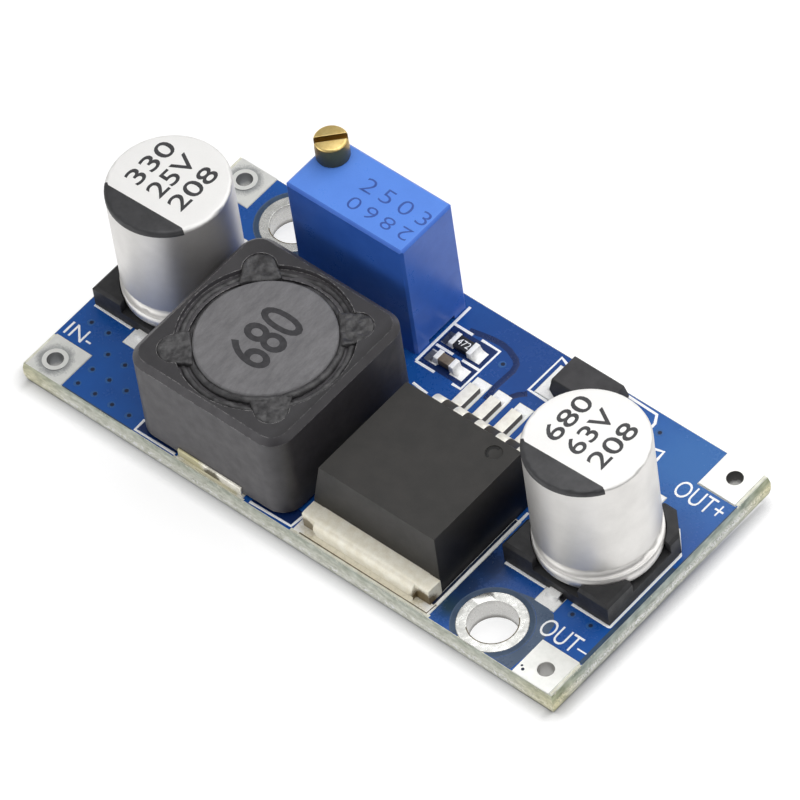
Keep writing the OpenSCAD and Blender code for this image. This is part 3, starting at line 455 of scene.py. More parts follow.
def inkLines(name, lines, width, height, level, finish, slot):
    piece = drawLines(name, lines, False, dimensions="3D", bevel_depth=width * mm / 2, bevel_resolution=2,
                      use_fill_caps=True)
    openMesh(piece)
    bpy.ops.transform.resize(value=(1, 1, height / width), center_override=(0, 0, 0))
    bpy.ops.transform.translate(value=(0, 0, level * mm))
    closeMesh()
    smoothShade(piece)
    hand(piece, name, finish)


# camera, light and floor

camera = {
    "lens": 365.57, "sensor": 36,
    "spot": (0.230703, -0.207991, 0.393457),
    "axes": ((0.7541623, -0.4664566, 0.4622309),
             (0.6492996, 0.6349574, -0.4186159),
             (-0.0982308, 0.6158307, 0.7817310)),
}
clearPick()
bpy.ops.object.camera_add()
eye = newest()
eye.data.lens = camera["lens"]
eye.data.sensor_width = camera["sensor"]
eye.matrix_world = Matrix.Translation(camera["spot"]) @ Matrix(camera["axes"]).to_4x4()
scene.camera = eye

studio = {
    "skyLevel": 0.48, "skyAbove": 0.40, "skyRight": 0.09,   # at eye level, overhead, share on the right
    "overhead": 0.6, "rightward": 0.8,                      # where those are reached
    "lamps": {"overheadPanel": {"spot": (0.080, 0.100, 0.130), "turn": (0, 0, 0),
                                "size": (0.27, 0.30), "power": 0.41},
              "frontFill": {"spot": (-0.13, -0.28, 0.07), "turn": (77, 0, -25),
                            "size": (0.26, 0.12), "power": 0.19}},
}
for label, lamp in studio["lamps"].items():
    clearPick()
    turn = [math.radians(angle) for angle in lamp["turn"]]
    bpy.ops.object.light_add(type="AREA", location=lamp["spot"], rotation=turn)
    panel = newest()
    panel.name = label
    panel.data.shape = "RECTANGLE"
    panel.data.size, panel.data.size_y = lamp["size"]
    panel.data.energy = lamp["power"]

sky = bpy.data.worlds.new("softSky")
sky.use_nodes = True
scene.world = sky
tree = sky.node_tree
ray = addNode(tree, "LightPath").outputs
towards = addNode(tree, "TexCoord").outputs["Generated"]
rising = remap(tree, axisOf(tree, towards, "Z"), 0.0, studio["overhead"],
               studio["skyLevel"], studio["skyAbove"])
turning = remap(tree, axisOf(tree, towards, "X"), 0.0, studio["rightward"], 1.0, studio["skyRight"])
dome = calc(tree, "MULTIPLY", rising, turning)
plain = calc(tree, "MAXIMUM", ray["Is Camera Ray"], ray["Is Transmission Ray"])
feed(tree, tree.nodes["Background"].inputs["Strength"],
     calc(tree, "ADD", calc(tree, "MULTIPLY", dome, calc(tree, "SUBTRACT", 1.0, plain)), plain))
tree.nodes["Background"].inputs["Color"].default_value = (1.0, 1.0, 1.0, 1.0)

floor = {
    "size": 3.0, "below": 0.02,
    "pins": (6.055, 0.0), "front": (-10.25, 0.69),   # y and z of what the part stands on, in mm
    "bounce": (0.82, 0.82, 0.82, 1.0),
    "shown": (0.42, 0.42, 0.422, 1.0),
    "glow": 0.70,
    "contact": 1.2, "soft": 0.3, "footprint": (21.2, 10.0),   # the dark line beside the board, in mm
    "depth": (1.5, 2.6),                                      # its depth along the sides and at the ends
}
tilt = math.atan2(floor["pins"][1] - floor["front"][1], floor["pins"][0] - floor["front"][0])
clearPick()
bpy.ops.mesh.primitive_plane_add(size=floor["size"],
                                 location=(0, floor["pins"][0] * mm, -floor["below"] * mm))
ground = newest()
ground.name = "floorSheet"
ground.rotation_euler = (tilt, 0, 0)
settle(ground)
white = bpy.data.materials.new("floorWhite")
white.use_nodes = True
tree = white.node_tree
tree.nodes.remove(tree.nodes["Principled BSDF"])
ray = addNode(tree, "LightPath").outputs
place = addNode(tree, "TexCoord").outputs["Object"]
beside = [calc(tree, "SUBTRACT", calc(tree, "ABSOLUTE", axisOf(tree, place, axis)), reach * mm)
          for axis, reach in zip("XY", floor["footprint"])]
outside = remap(tree, calc(tree, "MAXIMUM", *beside), -floor["soft"] * mm, 0.0)
# painted contact shadow: the floor's glow is darkened near the board, more deeply along its sides
near = addNode(tree, "AmbientOcclusion", {"Distance": floor["contact"] * mm}, samples=4).outputs["AO"]
near = calc(tree, "POWER", near, remap(tree, beside[0], -floor["soft"] * mm, 0.0, *floor["depth"]))
lit = blendColours(tree, outside, (1.0, 1.0, 1.0, 1.0), grey(tree, near))
shown = addNode(tree, "AddShader", {
    0: addNode(tree, "BsdfDiffuse", {"Color": floor["shown"]}).outputs[0],
    1: addNode(tree, "Emission", {"Color": lit, "Strength": floor["glow"]}).outputs[0]}).outputs[0]
bounce = addNode(tree, "BsdfDiffuse", {"Color": floor["bounce"]}).outputs[0]
seen = calc(tree, "MAXIMUM", ray["Is Camera Ray"], ray["Is Glossy Ray"])
feed(tree, tree.nodes["Material Output"].inputs["Surface"],
     addNode(tree, "MixShader", {0: seen, 1: bounce, 2: shown}).outputs[0])
ground.data.materials.append(white)
print("camera, light and floor set")


# board: laminate, lacquer, tinned metal

# painted shade on the barrels of the holes, darkest at their foot
holeWallShade = {"below": 2.4, "foot": (0.8, 1.1), "low": (120, 118, 114), "high": (206, 205, 202)}
boardLook = {
    "laminate": paint("laminate", (236, 236, 222), (214, 212, 194), 0.6, (0.08, 0.25), (0.55, 0.75), 0.008),
    "rim": paint(
        "snappedFibre", (255, 255, 252), (204, 206, 196), 0.24, (0.09, 0.4), (0.35, 0.7), 0.012,
        stretch=(0.35, 1.0, 1.0),
        # the lowest band is a painted shadow at the rim's foot
        bands=((0.74, (160, 160, 154)), (0.86, (232, 232, 224)), (1.25, (252, 252, 246)),
               (1.8, (232, 233, 224)), (2.32, (198, 204, 194))),
        ends={"axis": "X", "from": 17.5, "to": 21.0, "tint": (255, 250, 226)},
        torn={"level": 1.2, "reach": 0.42, "size": 0.2, "share": 0.53, "colour": (255, 255, 255)}),
    # painted shade: a darker copy of the rim's fibre for the board's ends, with a painted shadow band at
    # its foot
    "side": paint(
        "shadedFibreEnds", (255, 255, 252), (176, 180, 172), 0.24, (0.12, 0.8), (0.35, 0.7), 0.012,
        stretch=(1.0, 0.35, 1.0),
        bands=((0.74, (150, 151, 142)), (0.86, (236, 237, 228)), (1.25, (246, 247, 238)),
               (1.75, (222, 227, 220)), (2.0, (196, 206, 200)), (2.32, (180, 192, 190))),
        ends={"axis": "Y", "from": 7.2, "to": 9.9, "tint": (255, 248, 212)},
        torn={"level": 1.4, "reach": 0.42, "size": 0.13, "share": 0.47, "colour": (255, 255, 255)}),
    "lacquer": paint(
        "blueLacquer", (24, 87, 167), (20, 78, 155), 3.0, (0.25, 0.06), (0.22, 0.3), 0.001, specular=0.4,
        # painted light and shade: the lacquer darker at the back, paler near OUT+, and darker beside the
        # regulator
        smears=((4.5, 9.5, 9.0, (16, 68, 140)), (17.8, 8.6, 6.5, (44, 102, 170)),
                (12.2, -8.6, 1.7, (30, 58, 76)), (12.0, -4.9, 2.5, (14, 40, 78)),
                (12.0, -6.9, 2.0, (14, 44, 84)))),
    "tin": paint(
        "padTin", (252, 252, 248), (238, 239, 234), 0.7, (0.1, 0.05), (0.3, 0.34), 0.0005, metallic=0.6,
        # the IN pads are painted greyer round their holes; the dark mark at OUT+ is painted shade inside
        # its hole
        stains=((-20.0, -8.95, 1.35, (150, 152, 154)), (-20.0, 8.95, 1.35, (150, 152, 154)),
                (20.0, 8.95, 1.3, (72, 70, 68))),
        lid={"level": 2.45, "slope": 0.8, "light": (252, 252, 248), "dark": (240, 241, 236),
             "metallic": 0.6},
        walls=holeWallShade),
    "ring": paint(
        "ringTin", (252, 252, 248), (208, 208, 204), 0.45, (0.3, 0.05), (0.18, 0.36), 0.006, metallic=0.85,
        walls=holeWallShade),
    "barrel": paint(
        "holePlating", (176, 168, 146), (120, 112, 94), 0.4, (0.08, 0.3), (0.35, 0.55), 0.01, metallic=1.0),
    "solder": paint(
        "brightSolder", (255, 255, 254), (248, 248, 246), 0.35, (0.08, 0.06), (0.22, 0.36), 0.0015,
        metallic=0.04,
        # the first two marks tint the lands cream; the others are painted shade on the chips' left lands
        # and at the capacitor leads' feet
        stains=((6.15, -10.3, 5.8, (226, 218, 194)), (-6.1, -10.3, 3.0, (214, 208, 178)),
                (-1.35, 7.0, 0.75, (62, 66, 82)), (-1.35, 5.2, 0.6, (96, 98, 104)),
                (17.45, -4.2, 0.42, (36, 36, 40)), (-16.1, -4.5, 0.28, (60, 60, 62)))),
    # the snapped rim, outside a plain core
    "cut": 0.11, "inset": 0.1, "web": (1.25, 1.85), "cell": 0.09, "tear": 0.11, "scratch": 0.05,
    "drift": 0.5, "driftReach": 0.45, "driftPitch": 0.32, "driftSeeds": (3.0, 5.0), "endFade": 0.3,
    "webRows": 8, "onset": 3, "slack": 0.01, "smooth": 50,
    # two ripples of the torn web: pitch along, pitch up, share, shift
    "coarse": (2.2, 7, 0.6), "fine": (9, 15, 0.5, 4), "bite": 1.6,
}
boardPaint = mixPaints(boardLook)
underLacquer = makeFinish({**boardLook["lacquer"], "name": "underLacquer", "effects": {}})
levelTin = makeFinish({**boardLook["tin"], "name": "levelTin", "effects": {}})
boardLow, boardHigh = [Vector(corner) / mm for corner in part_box("circuit_board")]


def boardCore():
    # the laminate inside the rim, cut square from a copy of the board
    piece = mergedCopy("circuit_board", "boardCore")
    openMesh(piece)
    for axis in (0, 1):
        for side in (-1, 1):
            way = [0, 0, 0]
            way[axis] = side
            pickAll()
            bpy.ops.mesh.bisect(plane_co=[w * (boardHigh[axis] - boardLook["cut"]) * mm for w in way],
                                plane_no=way, clear_outer=True, use_fill=True)
    closeMesh()
    hand(piece, "boardCore", boardPaint["laminate"], node="circuit_board")


def ripple(spot, across, upward, share, shift=0):
    return noise.noise(Vector((spot.x * across, spot.y * across, spot.z * upward + shift))) * share


def rimStrip(along, side):
    # one snapped edge: scored bevels above and below a torn web of glass fibre
    web = boardLook["web"]
    levels = [boardHigh.z, (boardHigh.z * 2 + web[1]) / 3, (boardHigh.z + web[1] * 2) / 3]
    rows = boardLook["webRows"]
    levels += [web[1] + (web[0] - web[1]) * step / rows for step in range(rows + 1)]
    levels += [(boardLow.z + web[0] * 2) / 3, (boardLow.z * 2 + web[0]) / 3, boardLow.z]
    half = boardHigh[along] - boardLook["cut"]
    reach = boardHigh[1 - along] - boardLook["cut"]
    columns = int(2 * half / boardLook["cell"])
    clearPick()
    bpy.ops.mesh.primitive_grid_add(x_subdivisions=columns, y_subdivisions=len(levels) - 1, size=2)
    piece = newest()
    for point in piece.data.vertices:
        row = round((point.co.y + 1) / 2 * (len(levels) - 1))
        level = levels[row]
        if level > web[1]:
            proud = (boardHigh.z - level) / (boardHigh.z - web[1])
        elif level < web[0]:
            proud = (level - boardLow.z) / (web[0] - boardLow.z)
        else:
            proud = 1.0
        out = (boardLook["cut"] - boardLook["inset"]) + proud * boardLook["inset"]
        # the score line wanders up and down, differently on each edge
        middle = max(0.0, 1 - abs(level - web[1]) / boardLook["driftReach"])
        drift = noise.noise(Vector((point.co.x * half * boardLook["driftPitch"],
                                    side * boardLook["driftSeeds"][0], along * boardLook["driftSeeds"][1])))
        spot = Vector((0, 0, level + boardLook["drift"] * drift * middle))
        spot[along] = point.co.x * (half + out)
        spot[1 - along] = side * (reach + out)
        fade = min(1.0, (1 - abs(point.co.x)) * half / boardLook["endFade"])
        deep = boardLook["tear"] if proud == 1.0 else boardLook["scratch"]
        torn = abs(ripple(spot, *boardLook["coarse"]) + ripple(spot, *boardLook["fine"]))
        share = min(1.0, torn * boardLook["bite"]) * min(1.0, proud * boardLook["onset"])
        spot[1 - along] -= side * fade * deep * share
        point.co = spot * mm
    openMesh(piece, "EDGE", False)
    shape = bmesh.from_edit_mesh(piece.data)
    for edge in shape.edges:
        ends = [vert.co.z / mm for vert in edge.verts]
        flat = abs(ends[0] - ends[1]) < boardLook["slack"]
        away = min(abs(sum(ends) / 2 - height) for height in (boardLow.z, boardHigh.z))
        edge.select_set(edge.is_boundary and flat and away < boardLook["slack"])
    bmesh.update_edit_mesh(piece.data)
    bpy.ops.mesh.bridge_edge_loops()
    pickAll()
    bpy.ops.mesh.fill_holes(sides=0)
    pickAll()
    bpy.ops.mesh.normals_make_consistent(inside=False)
    closeMesh()
    smoothShade(piece, boardLook["smooth"])
    label = "boardRim" + ("X" if along == 0 else "Y") + ("Front" if side < 0 else "Back")
    finish = boardPaint["side"] if along else boardPaint["rim"]
    hand(piece, label, finish, node="circuit_board")


boardCore()
for along in (0, 1):
    for side in (-1, 1):
        rimStrip(along, side)
coverNode("solder_mask_top", boardPaint["lacquer"])
coverNode("solder_mask_bottom", underLacquer)
coverNode("plated_holes", boardPaint["barrel"])

# what the lacquer and the tin show of the copper below, and painted shade: films and lines

copper = {
    "gap": paint(
        "lacquerOverGapAndShade", (15, 44, 98), (12, 36, 84), 1.5, (0.2, 0.1), (0.22, 0.32), 0.002, specular=0.4),
    "bare": paint(
        "lacquerOverCopper", (82, 100, 124), (70, 88, 112), 2.0, (0.2, 0.1), (0.22, 0.32), 0.002,
        specular=0.4),
    "halo": paint(
        "lacquerHalo", (62, 84, 108), (48, 66, 92), 0.8, (0.15, 0.2), (0.25, 0.4), 0.003, specular=0.4),
    "cover": paint(
        "lacquerOverVia", (50, 98, 158), (40, 88, 150), 0.5, (0.2, 0.1), (0.22, 0.32), 0.002, specular=0.4),
    "deep": paint(
        "dimpleShadeAndSpeck", (14, 32, 66), (8, 22, 50), 0.3, (0.1, 0.2), (0.3, 0.4), 0.002, specular=0.4),
    "dull": paint(
        "dullTin", (126, 114, 88), (84, 74, 54), 0.3, (0.08, 0.3), (0.4, 0.6), 0.004, metallic=0.3),
    # heights and thicknesses in mm
    "level": 2.38, "thick": 0.004, "landTop": 2.41, "padFoot": 2.405, "ringTop": 2.472,
    "edgeLevel": 2.352, "edgeThick": 0.032, "face": 10.18, "ringSteps": 48, "discSteps": 24,
    # widths and heights of the lines
    "channel": (0.42, 0.012), "footLine": (0.09, 0.02),
    "channels": (
        ((-0.63, 8.15), (0.24, 8.35), (1.02, 8.47), (1.71, 8.53), (2.39, 8.42), (3.17, 8.11), (3.5, 7.81),
         (3.64, 7.3), (3.6, 6.65), (3.56, 5.65), (3.7, 4.6)),
        ((4.75, 5.3), (4.92, 5.78), (5.1, 6.08), (5.51, 6.47)),
    ),
    # films round the screw holes, and the copper beside one of them
    "mounts": ((15.1, -8.15), (-15.1, 8.15)),
    "ring": {"halo": (2.26, 2.56), "line": (2.56, 2.64), "pour": 2.66},
    "pourFrom": 14.6,
    "pour": ((18.2, -10.18), (18.35, -8.8), (18.4, -7.2), (18.25, -6.1), (17.7, -5.5), (16.5, -5.15)),
    # a painted shadow line inside each screw hole
    "boreArc": {"radius": 1.64, "from": -130, "to": 48, "steps": 30, "width": 0.07, "height": 0.02},
    "via": {
        "limit": 0.6, "cover": 0.26, "dimple": 0.14, "coverThick": 0.006, "dimpleThick": 0.002,
        "shift": 0.03},
    # outlines on the lacquer, the lands and the pads, and painted shade on them
    "slivers": (((-9.0, -10.21), (-3.2, -10.21), (-3.2, -10.1), (-9.0, -10.1)),
                ((0.55, -10.21), (11.75, -10.21), (11.75, -10.0), (0.55, -10.0))),
    "corner": ((21.29, 7.42), (21.46, 7.42), (21.46, 10.2), (21.29, 10.2)),
    "edges": (((21.2, -7.34), (21.49, -7.34), (21.49, 7.3), (21.42, 7.3), (21.42, 1.5), (21.2, 1.5)),
              ((-18.3, -10.24), (-12.5, -10.24), (-12.5, -10.17), (-18.3, -10.17))),
    # a painted shadow line along the tab's foot
    "footLines": (((1.2, -10.03), (11.45, -10.03), (11.52, -9.2)),),
    "tabShade": (((11.22, -9.3), (11.4, -9.3), (11.4, -1.42), (11.22, -1.42)),),
    "shaded": (((-2.8, -9.95), (0.4, -9.85), (0.48, -8.7), (-2.8, -8.7)),
               ((-12.2, -9.95), (-9.0, -9.95), (-9.0, -8.9), (-12.2, -8.9))),
    "wells": (((-1.62, 6.2), (1.85, 6.2), (1.9, 7.9), (-1.62, 7.9)),
              ((-1.62, 4.45), (1.85, 4.45), (1.85, 5.98), (-1.62, 5.98))),
    "outPad": ((18.42, -10.24), (21.28, -10.24), (21.28, -7.37), (18.42, -7.37)),
    "outHole": (20.0, -8.95, 0.56),
    "specks": ((18.87, -9.78, 0.11), (18.65, -9.59, 0.08)),
}
copperPaint = mixPaints(copper)


def film(name, outlines, finish, level=copper["level"], thick=copper["thick"]):
    # flat shapes with a real thickness, standing on a level
    piece = drawLines(name, outlines, True, dimensions="2D", fill_mode="BOTH", extrude=thick * mm / 2)
    openMesh(piece)
    bpy.ops.mesh.remove_doubles(threshold=weldGap)
    bpy.ops.transform.translate(value=(0, 0, (level + thick / 2) * mm))
    bpy.ops.mesh.normals_make_consistent(inside=False)
    closeMesh()
    hand(piece, name, finish)


def around(centre, radius, angle):
    return (centre[0] + radius * math.cos(angle), centre[1] + radius * math.sin(angle))


def arcLine(centre, arc):
    sweep = arc["to"] - arc["from"]
    angles = [arc["from"] + sweep * step / arc["steps"] for step in range(arc["steps"] + 1)]
    return [around(centre, arc["radius"], math.radians(angle)) for angle in angles]


def disc(spot, radius):
    steps = copper["discSteps"]
    return [around(spot, radius, step * math.tau / steps) for step in range(steps)]


def ringBand(centre, inner, outer):
    # a flat ring cut off straight where the board's face ends: out along one side and back along the other
    sign = 1 if centre[1] < 0 else -1
    steps = copper["ringSteps"]
    points = []
    for radius, order in ((outer, range(steps + 1)), (inner, range(steps, -1, -1))):
        stop = math.asin(min(1.0, (copper["face"] - abs(centre[1])) / radius))
        sweep = math.pi + 2 * stop
        points += [around(centre, sign * radius, -stop + sweep * step / steps) for step in order]
    return points


def viaSpots(limit):
    # centres of the small barrels, read from the CAD mesh
    shape = bmesh.new()
    shape.from_mesh(nodes["plated_holes"].data)
    bmesh.ops.remove_doubles(shape, verts=shape.verts, dist=weldGap)
    left = set(shape.verts)
    spots = []
    while left:
        island = [left.pop()]
        for vert in island:
            near = {edge.other_vert(vert) for edge in vert.link_edges} & left
            left -= near
            island.extend(near)
        low = [min(vert.co[axis] for vert in island) / mm for axis in (0, 1)]
        high = [max(vert.co[axis] for vert in island) / mm for axis in (0, 1)]
        if high[0] - low[0] < limit:
            spots.append(((low[0] + high[0]) / 2, (low[1] + high[1]) / 2))
    shape.free()
    return sorted(spots)


mounts = copper["mounts"]
ring = copper["ring"]
film("mountHalo", [ringBand(spot, *ring["halo"]) for spot in mounts], copperPaint["halo"])
film("mountLine", [ringBand(spot, *ring["line"]) for spot in mounts], copperPaint["bare"])
bend = ringBand(mounts[0], ring["pour"], ring["pour"])[copper["ringSteps"] + 1:]
bend = [spot for spot in bend if spot[0] > copper["pourFrom"]]
film("copperPour", [list(copper["pour"]) + bend], copperPaint["bare"])
film("edgeShade", copper["edges"], copperPaint["halo"], copper["edgeLevel"], copper["edgeThick"])
film("bareEdges", copper["slivers"], boardPaint["laminate"])
# painted shadow lines at the tab's foot and inside the screw holes
inkLines("tabFootLine", copper["footLines"], *copper["footLine"], copper["landTop"],
         copperPaint["dull"], "solder")
arc = copper["boreArc"]
inkLines("boreLines", [arcLine(spot, arc) for spot in mounts], arc["width"], arc["height"],
         copper["landTop"], copperPaint["dull"], "pad_tin")
film("tabShade", copper["tabShade"], copperPaint["deep"], copper["landTop"])
via = copper["via"]
vias = viaSpots(via["limit"])
print("vias covered:", len(vias))
film("viaCovers", [disc(spot, via["cover"]) for spot in vias], copperPaint["cover"],
     thick=via["coverThick"])
# painted shade: dark dots set off-centre in the via covers, where their dimples are shaded
film("viaDimples", [disc((x + via["shift"], y + via["shift"]), via["dimple"]) for x, y in vias],
     copperPaint["deep"], copper["level"] + via["coverThick"], via["dimpleThick"])
# painted shade on the lacquer in front of the inductor
film("shadedLacquer", copper["shaded"], copperPaint["gap"])
# painted shade on the lacquer round the chip parts
film("chipWells", copper["wells"], copperPaint["gap"])
film("bareCorners", [[(a * x, b * y) for x, y in copper["corner"]] for a in (-1, 1) for b in (-1, 1)],
     boardPaint["laminate"])
inkLines("copperGaps", copper["channels"], *copper["channel"], copper["level"], copperPaint["gap"], "mask")
dress("terminal_pads", boardPaint["tin"])
outHole = copper["outHole"]
padOutlines = (copper["outPad"], disc(outHole, outHole[2]))
film("outPads", [[(x, side * y) for x, y in outline] for side in (1, -1) for outline in padOutlines],
     levelTin, copper["padFoot"], copper["ringTop"] - copper["padFoot"])
film("padSpecks", [disc(speck, speck[2]) for speck in copper["specks"]], copperPaint["deep"],
     copper["ringTop"])
dress("mounting_eyelets", boardPaint["ring"], edge=0.03)
dress("component_lands", boardPaint["solder"], edge=0.02)
dress("solder_joints", boardPaint["solder"], degrees=60)
print("board dressed")


# switching regulator

tinned = ((246, 243, 232), (224, 220, 208), 0.4, (0.08, 0.15), (0.28, 0.42), 0.006)   # leads and clips
regulatorLook = {
    "body": paint(
        "blackMoulding", (52, 50, 48), (46, 45, 43), 1.2, (0.05, 0.4), (0.38, 0.5), 0.008, specular=0.35,
        # painted shade: the bands darken the moulding towards its foot and the ends darken its right side;
        # the rub lines are a painted highlight
        bands=((2.4, (140, 136, 138)), (4.2, (178, 174, 176)), (6.7, (255, 255, 255))),
        ends={"axis": "X", "from": 10.75, "to": 11.05, "tint": (172, 172, 178)},
        rub={"colour": (120, 118, 114), "width": 0.06, "breakup": 0.5, "amount": 0.35}),
    "tab": paint(
        "tinnedTab", (255, 251, 236), (240, 233, 212), 0.6, (0.09, 0.18), (0.36, 0.52), 0.012, metallic=0.2,
        # the first mark is painted shade in the notch at the tab's right end
        stains=((10.8, -9.55, 1.12, (104, 88, 58)), (1.4, -9.45, 1.05, (140, 130, 108)),
                (3.3, -8.5, 0.3, (150, 142, 126)), (5.1, -8.62, 0.22, (140, 132, 116)),
                (7.6, -8.5, 0.26, (150, 142, 126)))),
    "dip": paint("dimpleBlack", (20, 20, 20), (12, 12, 12), 0.3, (0.05, 0.3), (0.6, 0.8), 0.004),
    # shade in the round mark on the top
    "dimple": {
        "centre": (9.38, -0.67), "radius": 0.43, "from": 80, "to": 255, "steps": 20, "width": 0.2,
        "height": 0.03, "level": 6.835},
    "gull": paint(
        "croppedLead", (255, 252, 242), (238, 234, 222), 0.4, (0.08, 0.12), (0.28, 0.42), 0.004,
        metallic=0.4,
        # painted shade: the leads' steep sides are darker, and darkest at their foot
        walls={"below": 20.0, "foot": (2.4, 3.0), "low": (70, 64, 58), "high": (128, 122, 112)}),
    "lead": paint("tinnedLead", *tinned, metallic=0.6),
}
regulatorPaint = mixPaints(regulatorLook)
dress("regulator_body", regulatorPaint["body"], edge=0.08, steps=3)
arc = regulatorLook["dimple"]
inkLines("dimpleShade", [arcLine(arc["centre"], arc)], arc["width"], arc["height"], arc["level"],
         regulatorPaint["dip"], "epoxy")
dress("regulator_tab", regulatorPaint["tab"], edge=0.05)
dress("regulator_leads", regulatorPaint["gull"], edge=0.04)
print("regulator dressed")


# shielded inductor

inductorLook = {
    "shield": paint(
        "sinteredFerrite", (72, 70, 73), (64, 62, 65), 0.9, (0.06, 0.35), (0.4, 0.54), 0.008,
        # painted shade: the top is darker than the sides and the right face is darker; the rub lines are a
        # painted highlight on the edges
        lid={"level": 9.45, "slope": 0.85, "light": (53, 51, 54), "dark": (38, 37, 39), "metallic": 0.0},
        ends={"axis": "X", "from": 0.9, "to": 0.3, "tint": (186, 184, 186)},
        rub={"colour": (196, 194, 192), "width": 0.1, "breakup": 0.25, "amount": 0.7}),
    "drum": paint(
        "groundFerrite", (116, 115, 117), (100, 99, 101), 0.35, (0.06, 0.45), (0.55, 0.7), 0.012,
        stretch=(1.0, 0.3, 1.0)),
    "glue": paint("curedGlue", (74, 73, 74), (36, 35, 37), 0.5, (0.1, 0.3), (0.35, 0.6), 0.03),
    "wire": paint(
        "enamelWire", (176, 104, 52), (130, 70, 34), 0.6, (0.08, 0.2), (0.25, 0.4), 0.01, metallic=0.8),
    "print": paint("greyInk", (54, 53, 56), (44, 43, 46), 0.4, (0.07, 0.3), (0.6, 0.8), 0.005),
    "clip": paint(
        "tinnedClip", *tinned, metallic=0.6,
        stains=((-7.8, -10.05, 1.5, (190, 184, 148)), (-5.9, -10.05, 0.85, (96, 90, 70)))),
    # the corner fills, and the beads round the drum
    "pool": {
        "cell": 0.06, "swell": 0.1, "wave": 0.16, "still": 9.0, "rise": 0.3,
        "waves": ((0.9, 1.0), (2.4, 0.5), (6, 0.25))},
    "uneven": {"slow": 2.2, "quick": 9, "fine": 2.5, "quickLift": 0.5, "quickWeave": 0.6, "quickSeed": 5},
    "beadSteps": (220, 16),   # along a bead and round it
    "beads": {
        "Inner": {"radius": 4.72, "thick": 0.25, "level": 9.12, "lean": 0.24, "towards": -40, "swell": 0.1,
                  "grit": 0.03, "weave": 0.03, "seed": 1.0},
        "Outer": {"radius": 5.32, "thick": 0.24, "level": 9.11, "lean": 0.05, "towards": -30, "swell": 0.14,
                  "grit": 0.03, "weave": 0.1, "seed": 7.0}},
    "number": {
        "text": "680", "length": 4.5, "height": 3.2, "ink": 0.02, "turn": 90, "centre": (-6.1, -3.65, 9.61),
        "bold": 0.012},
}
inductorPaint = mixPaints(inductorLook)
dress("inductor_shield", inductorPaint["shield"], edge=0.06)
dress("inductor_core", inductorPaint["drum"], edge=0.04)
dress("inductor_terminals", inductorPaint["clip"], edge=0.05)


def gluePool(pool):
    # the corner fills, remeshed finely and left wavy
    piece = mergedCopy("inductor_adhesive", "inductorGlue")
    pick(piece)
    piece.data.remesh_voxel_size = pool["cell"] * mm
    bpy.ops.object.voxel_remesh()
    openMesh(piece)
    bpy.ops.transform.shrink_fatten(value=pool["swell"] * mm)
    closeMesh()
    for point in piece.data.vertices:
        spot = point.co / mm
        wave = sum(share * noise.noise(spot * pitch) for pitch, share in pool["waves"])
        share = min(1.0, max(0.0, (spot.z - pool["still"]) / pool["rise"]))
        point.co.z += pool["wave"] * wave * share * mm
    smoothShade(piece)
    hand(piece, "inductorGlue", inductorPaint["glue"], node="inductor_adhesive")


def glueBead(name, bead, uneven):
    # an uneven bead of glue, run round the drum
    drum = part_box("inductor_core")
    middle = [(drum[0][i] + drum[1][i]) / 2 for i in (0, 1)]
    clearPick()
    bpy.ops.mesh.primitive_torus_add(major_radius=bead["radius"] * mm, minor_radius=bead["thick"] * mm,
                                     major_segments=inductorLook["beadSteps"][0],
                                     minor_segments=inductorLook["beadSteps"][1],
                                     location=(middle[0], middle[1], bead["level"] * mm))
    piece = newest()
    settle(piece)
    centre = Vector((middle[0], middle[1], 0))
    seed = Vector((0, 0, bead["seed"]))
    for point in piece.data.vertices:
        arm = point.co - centre
        angle = math.atan2(arm.y, arm.x)
        outward = Vector((math.cos(angle), math.sin(angle), 0))
        slow = noise.noise(outward * uneven["slow"] + seed)
        quick = noise.noise(outward * uneven["quick"] + seed + Vector((0, 0, uneven["quickSeed"])))
        fine = noise.noise(point.co / mm * uneven["fine"] + seed)
        lean = bead["lean"] * math.cos(angle - math.radians(bead["towards"]))
        swell = bead["swell"] * (slow + uneven["quickLift"] * quick)
        point.co.z += (lean + swell + bead["grit"] * fine) * mm
        point.co += outward * (bead["weave"] * (slow - uneven["quickWeave"] * quick)) * mm
    smoothShade(piece)
    hand(piece, name, inductorPaint["glue"])


gluePool(inductorLook["pool"])
coverNode("inductor_winding", inductorPaint["wire"])
for label, bead in inductorLook["beads"].items():
    glueBead("inductorBead" + label, bead, inductorLook["uneven"])
printText("inductorNumber", inductorLook["number"], inductorPaint["print"])
print("inductor dressed")


# electrolytic capacitors

canLook = {
    "metal": paint(
        "satinAluminium", (229, 227, 224), (219, 217, 214), 2.0, (0.08, 0.06), (0.45, 0.51), 0.001,
        metallic=0.95,
        # painted light: the lid is paler and less metallic than the wall
        lid={"level": 12.95, "slope": 0.5, "light": (248, 247, 245), "dark": (238, 237, 235),
             "metallic": 0.15}),
    "ink": paint("blackInk", (60, 60, 62), (46, 46, 48), 0.8, (0.08, 0.2), (0.35, 0.5), 0.004),
    "base": paint("basePlastic", (40, 40, 42), (30, 30, 32), 0.8, (0.07, 0.3), (0.45, 0.65), 0.012),
    "rubber": paint("bungRubber", (34, 34, 34), (24, 24, 24), 0.7, (0.1, 0.3), (0.7, 0.9), 0.02),
    "paper": paint("foilAndPaper", (196, 188, 168), (168, 158, 134), 0.5, (0.08, 0.3), (0.8, 0.95), 0.02),
    # ink on the lids
    "segment": {"chord": -2.2, "skirt": 0.42, "inside": 3.9, "upright": 0.05, "lift": 0.01, "film": 0.008},
    "top": 13.16, "rowPitch": 1.76, "rowShift": (-0.2, 0.6), "smooth": 40,
    "row": {"length": 3.7, "height": 1.3, "ink": 0.02, "turn": 90, "bold": 0.008},
    "input": {"x": -16.8, "rows": ("330", "25V", "208")},
    "output": {"x": 16.8, "rows": ("680", "63V", "208")},
}
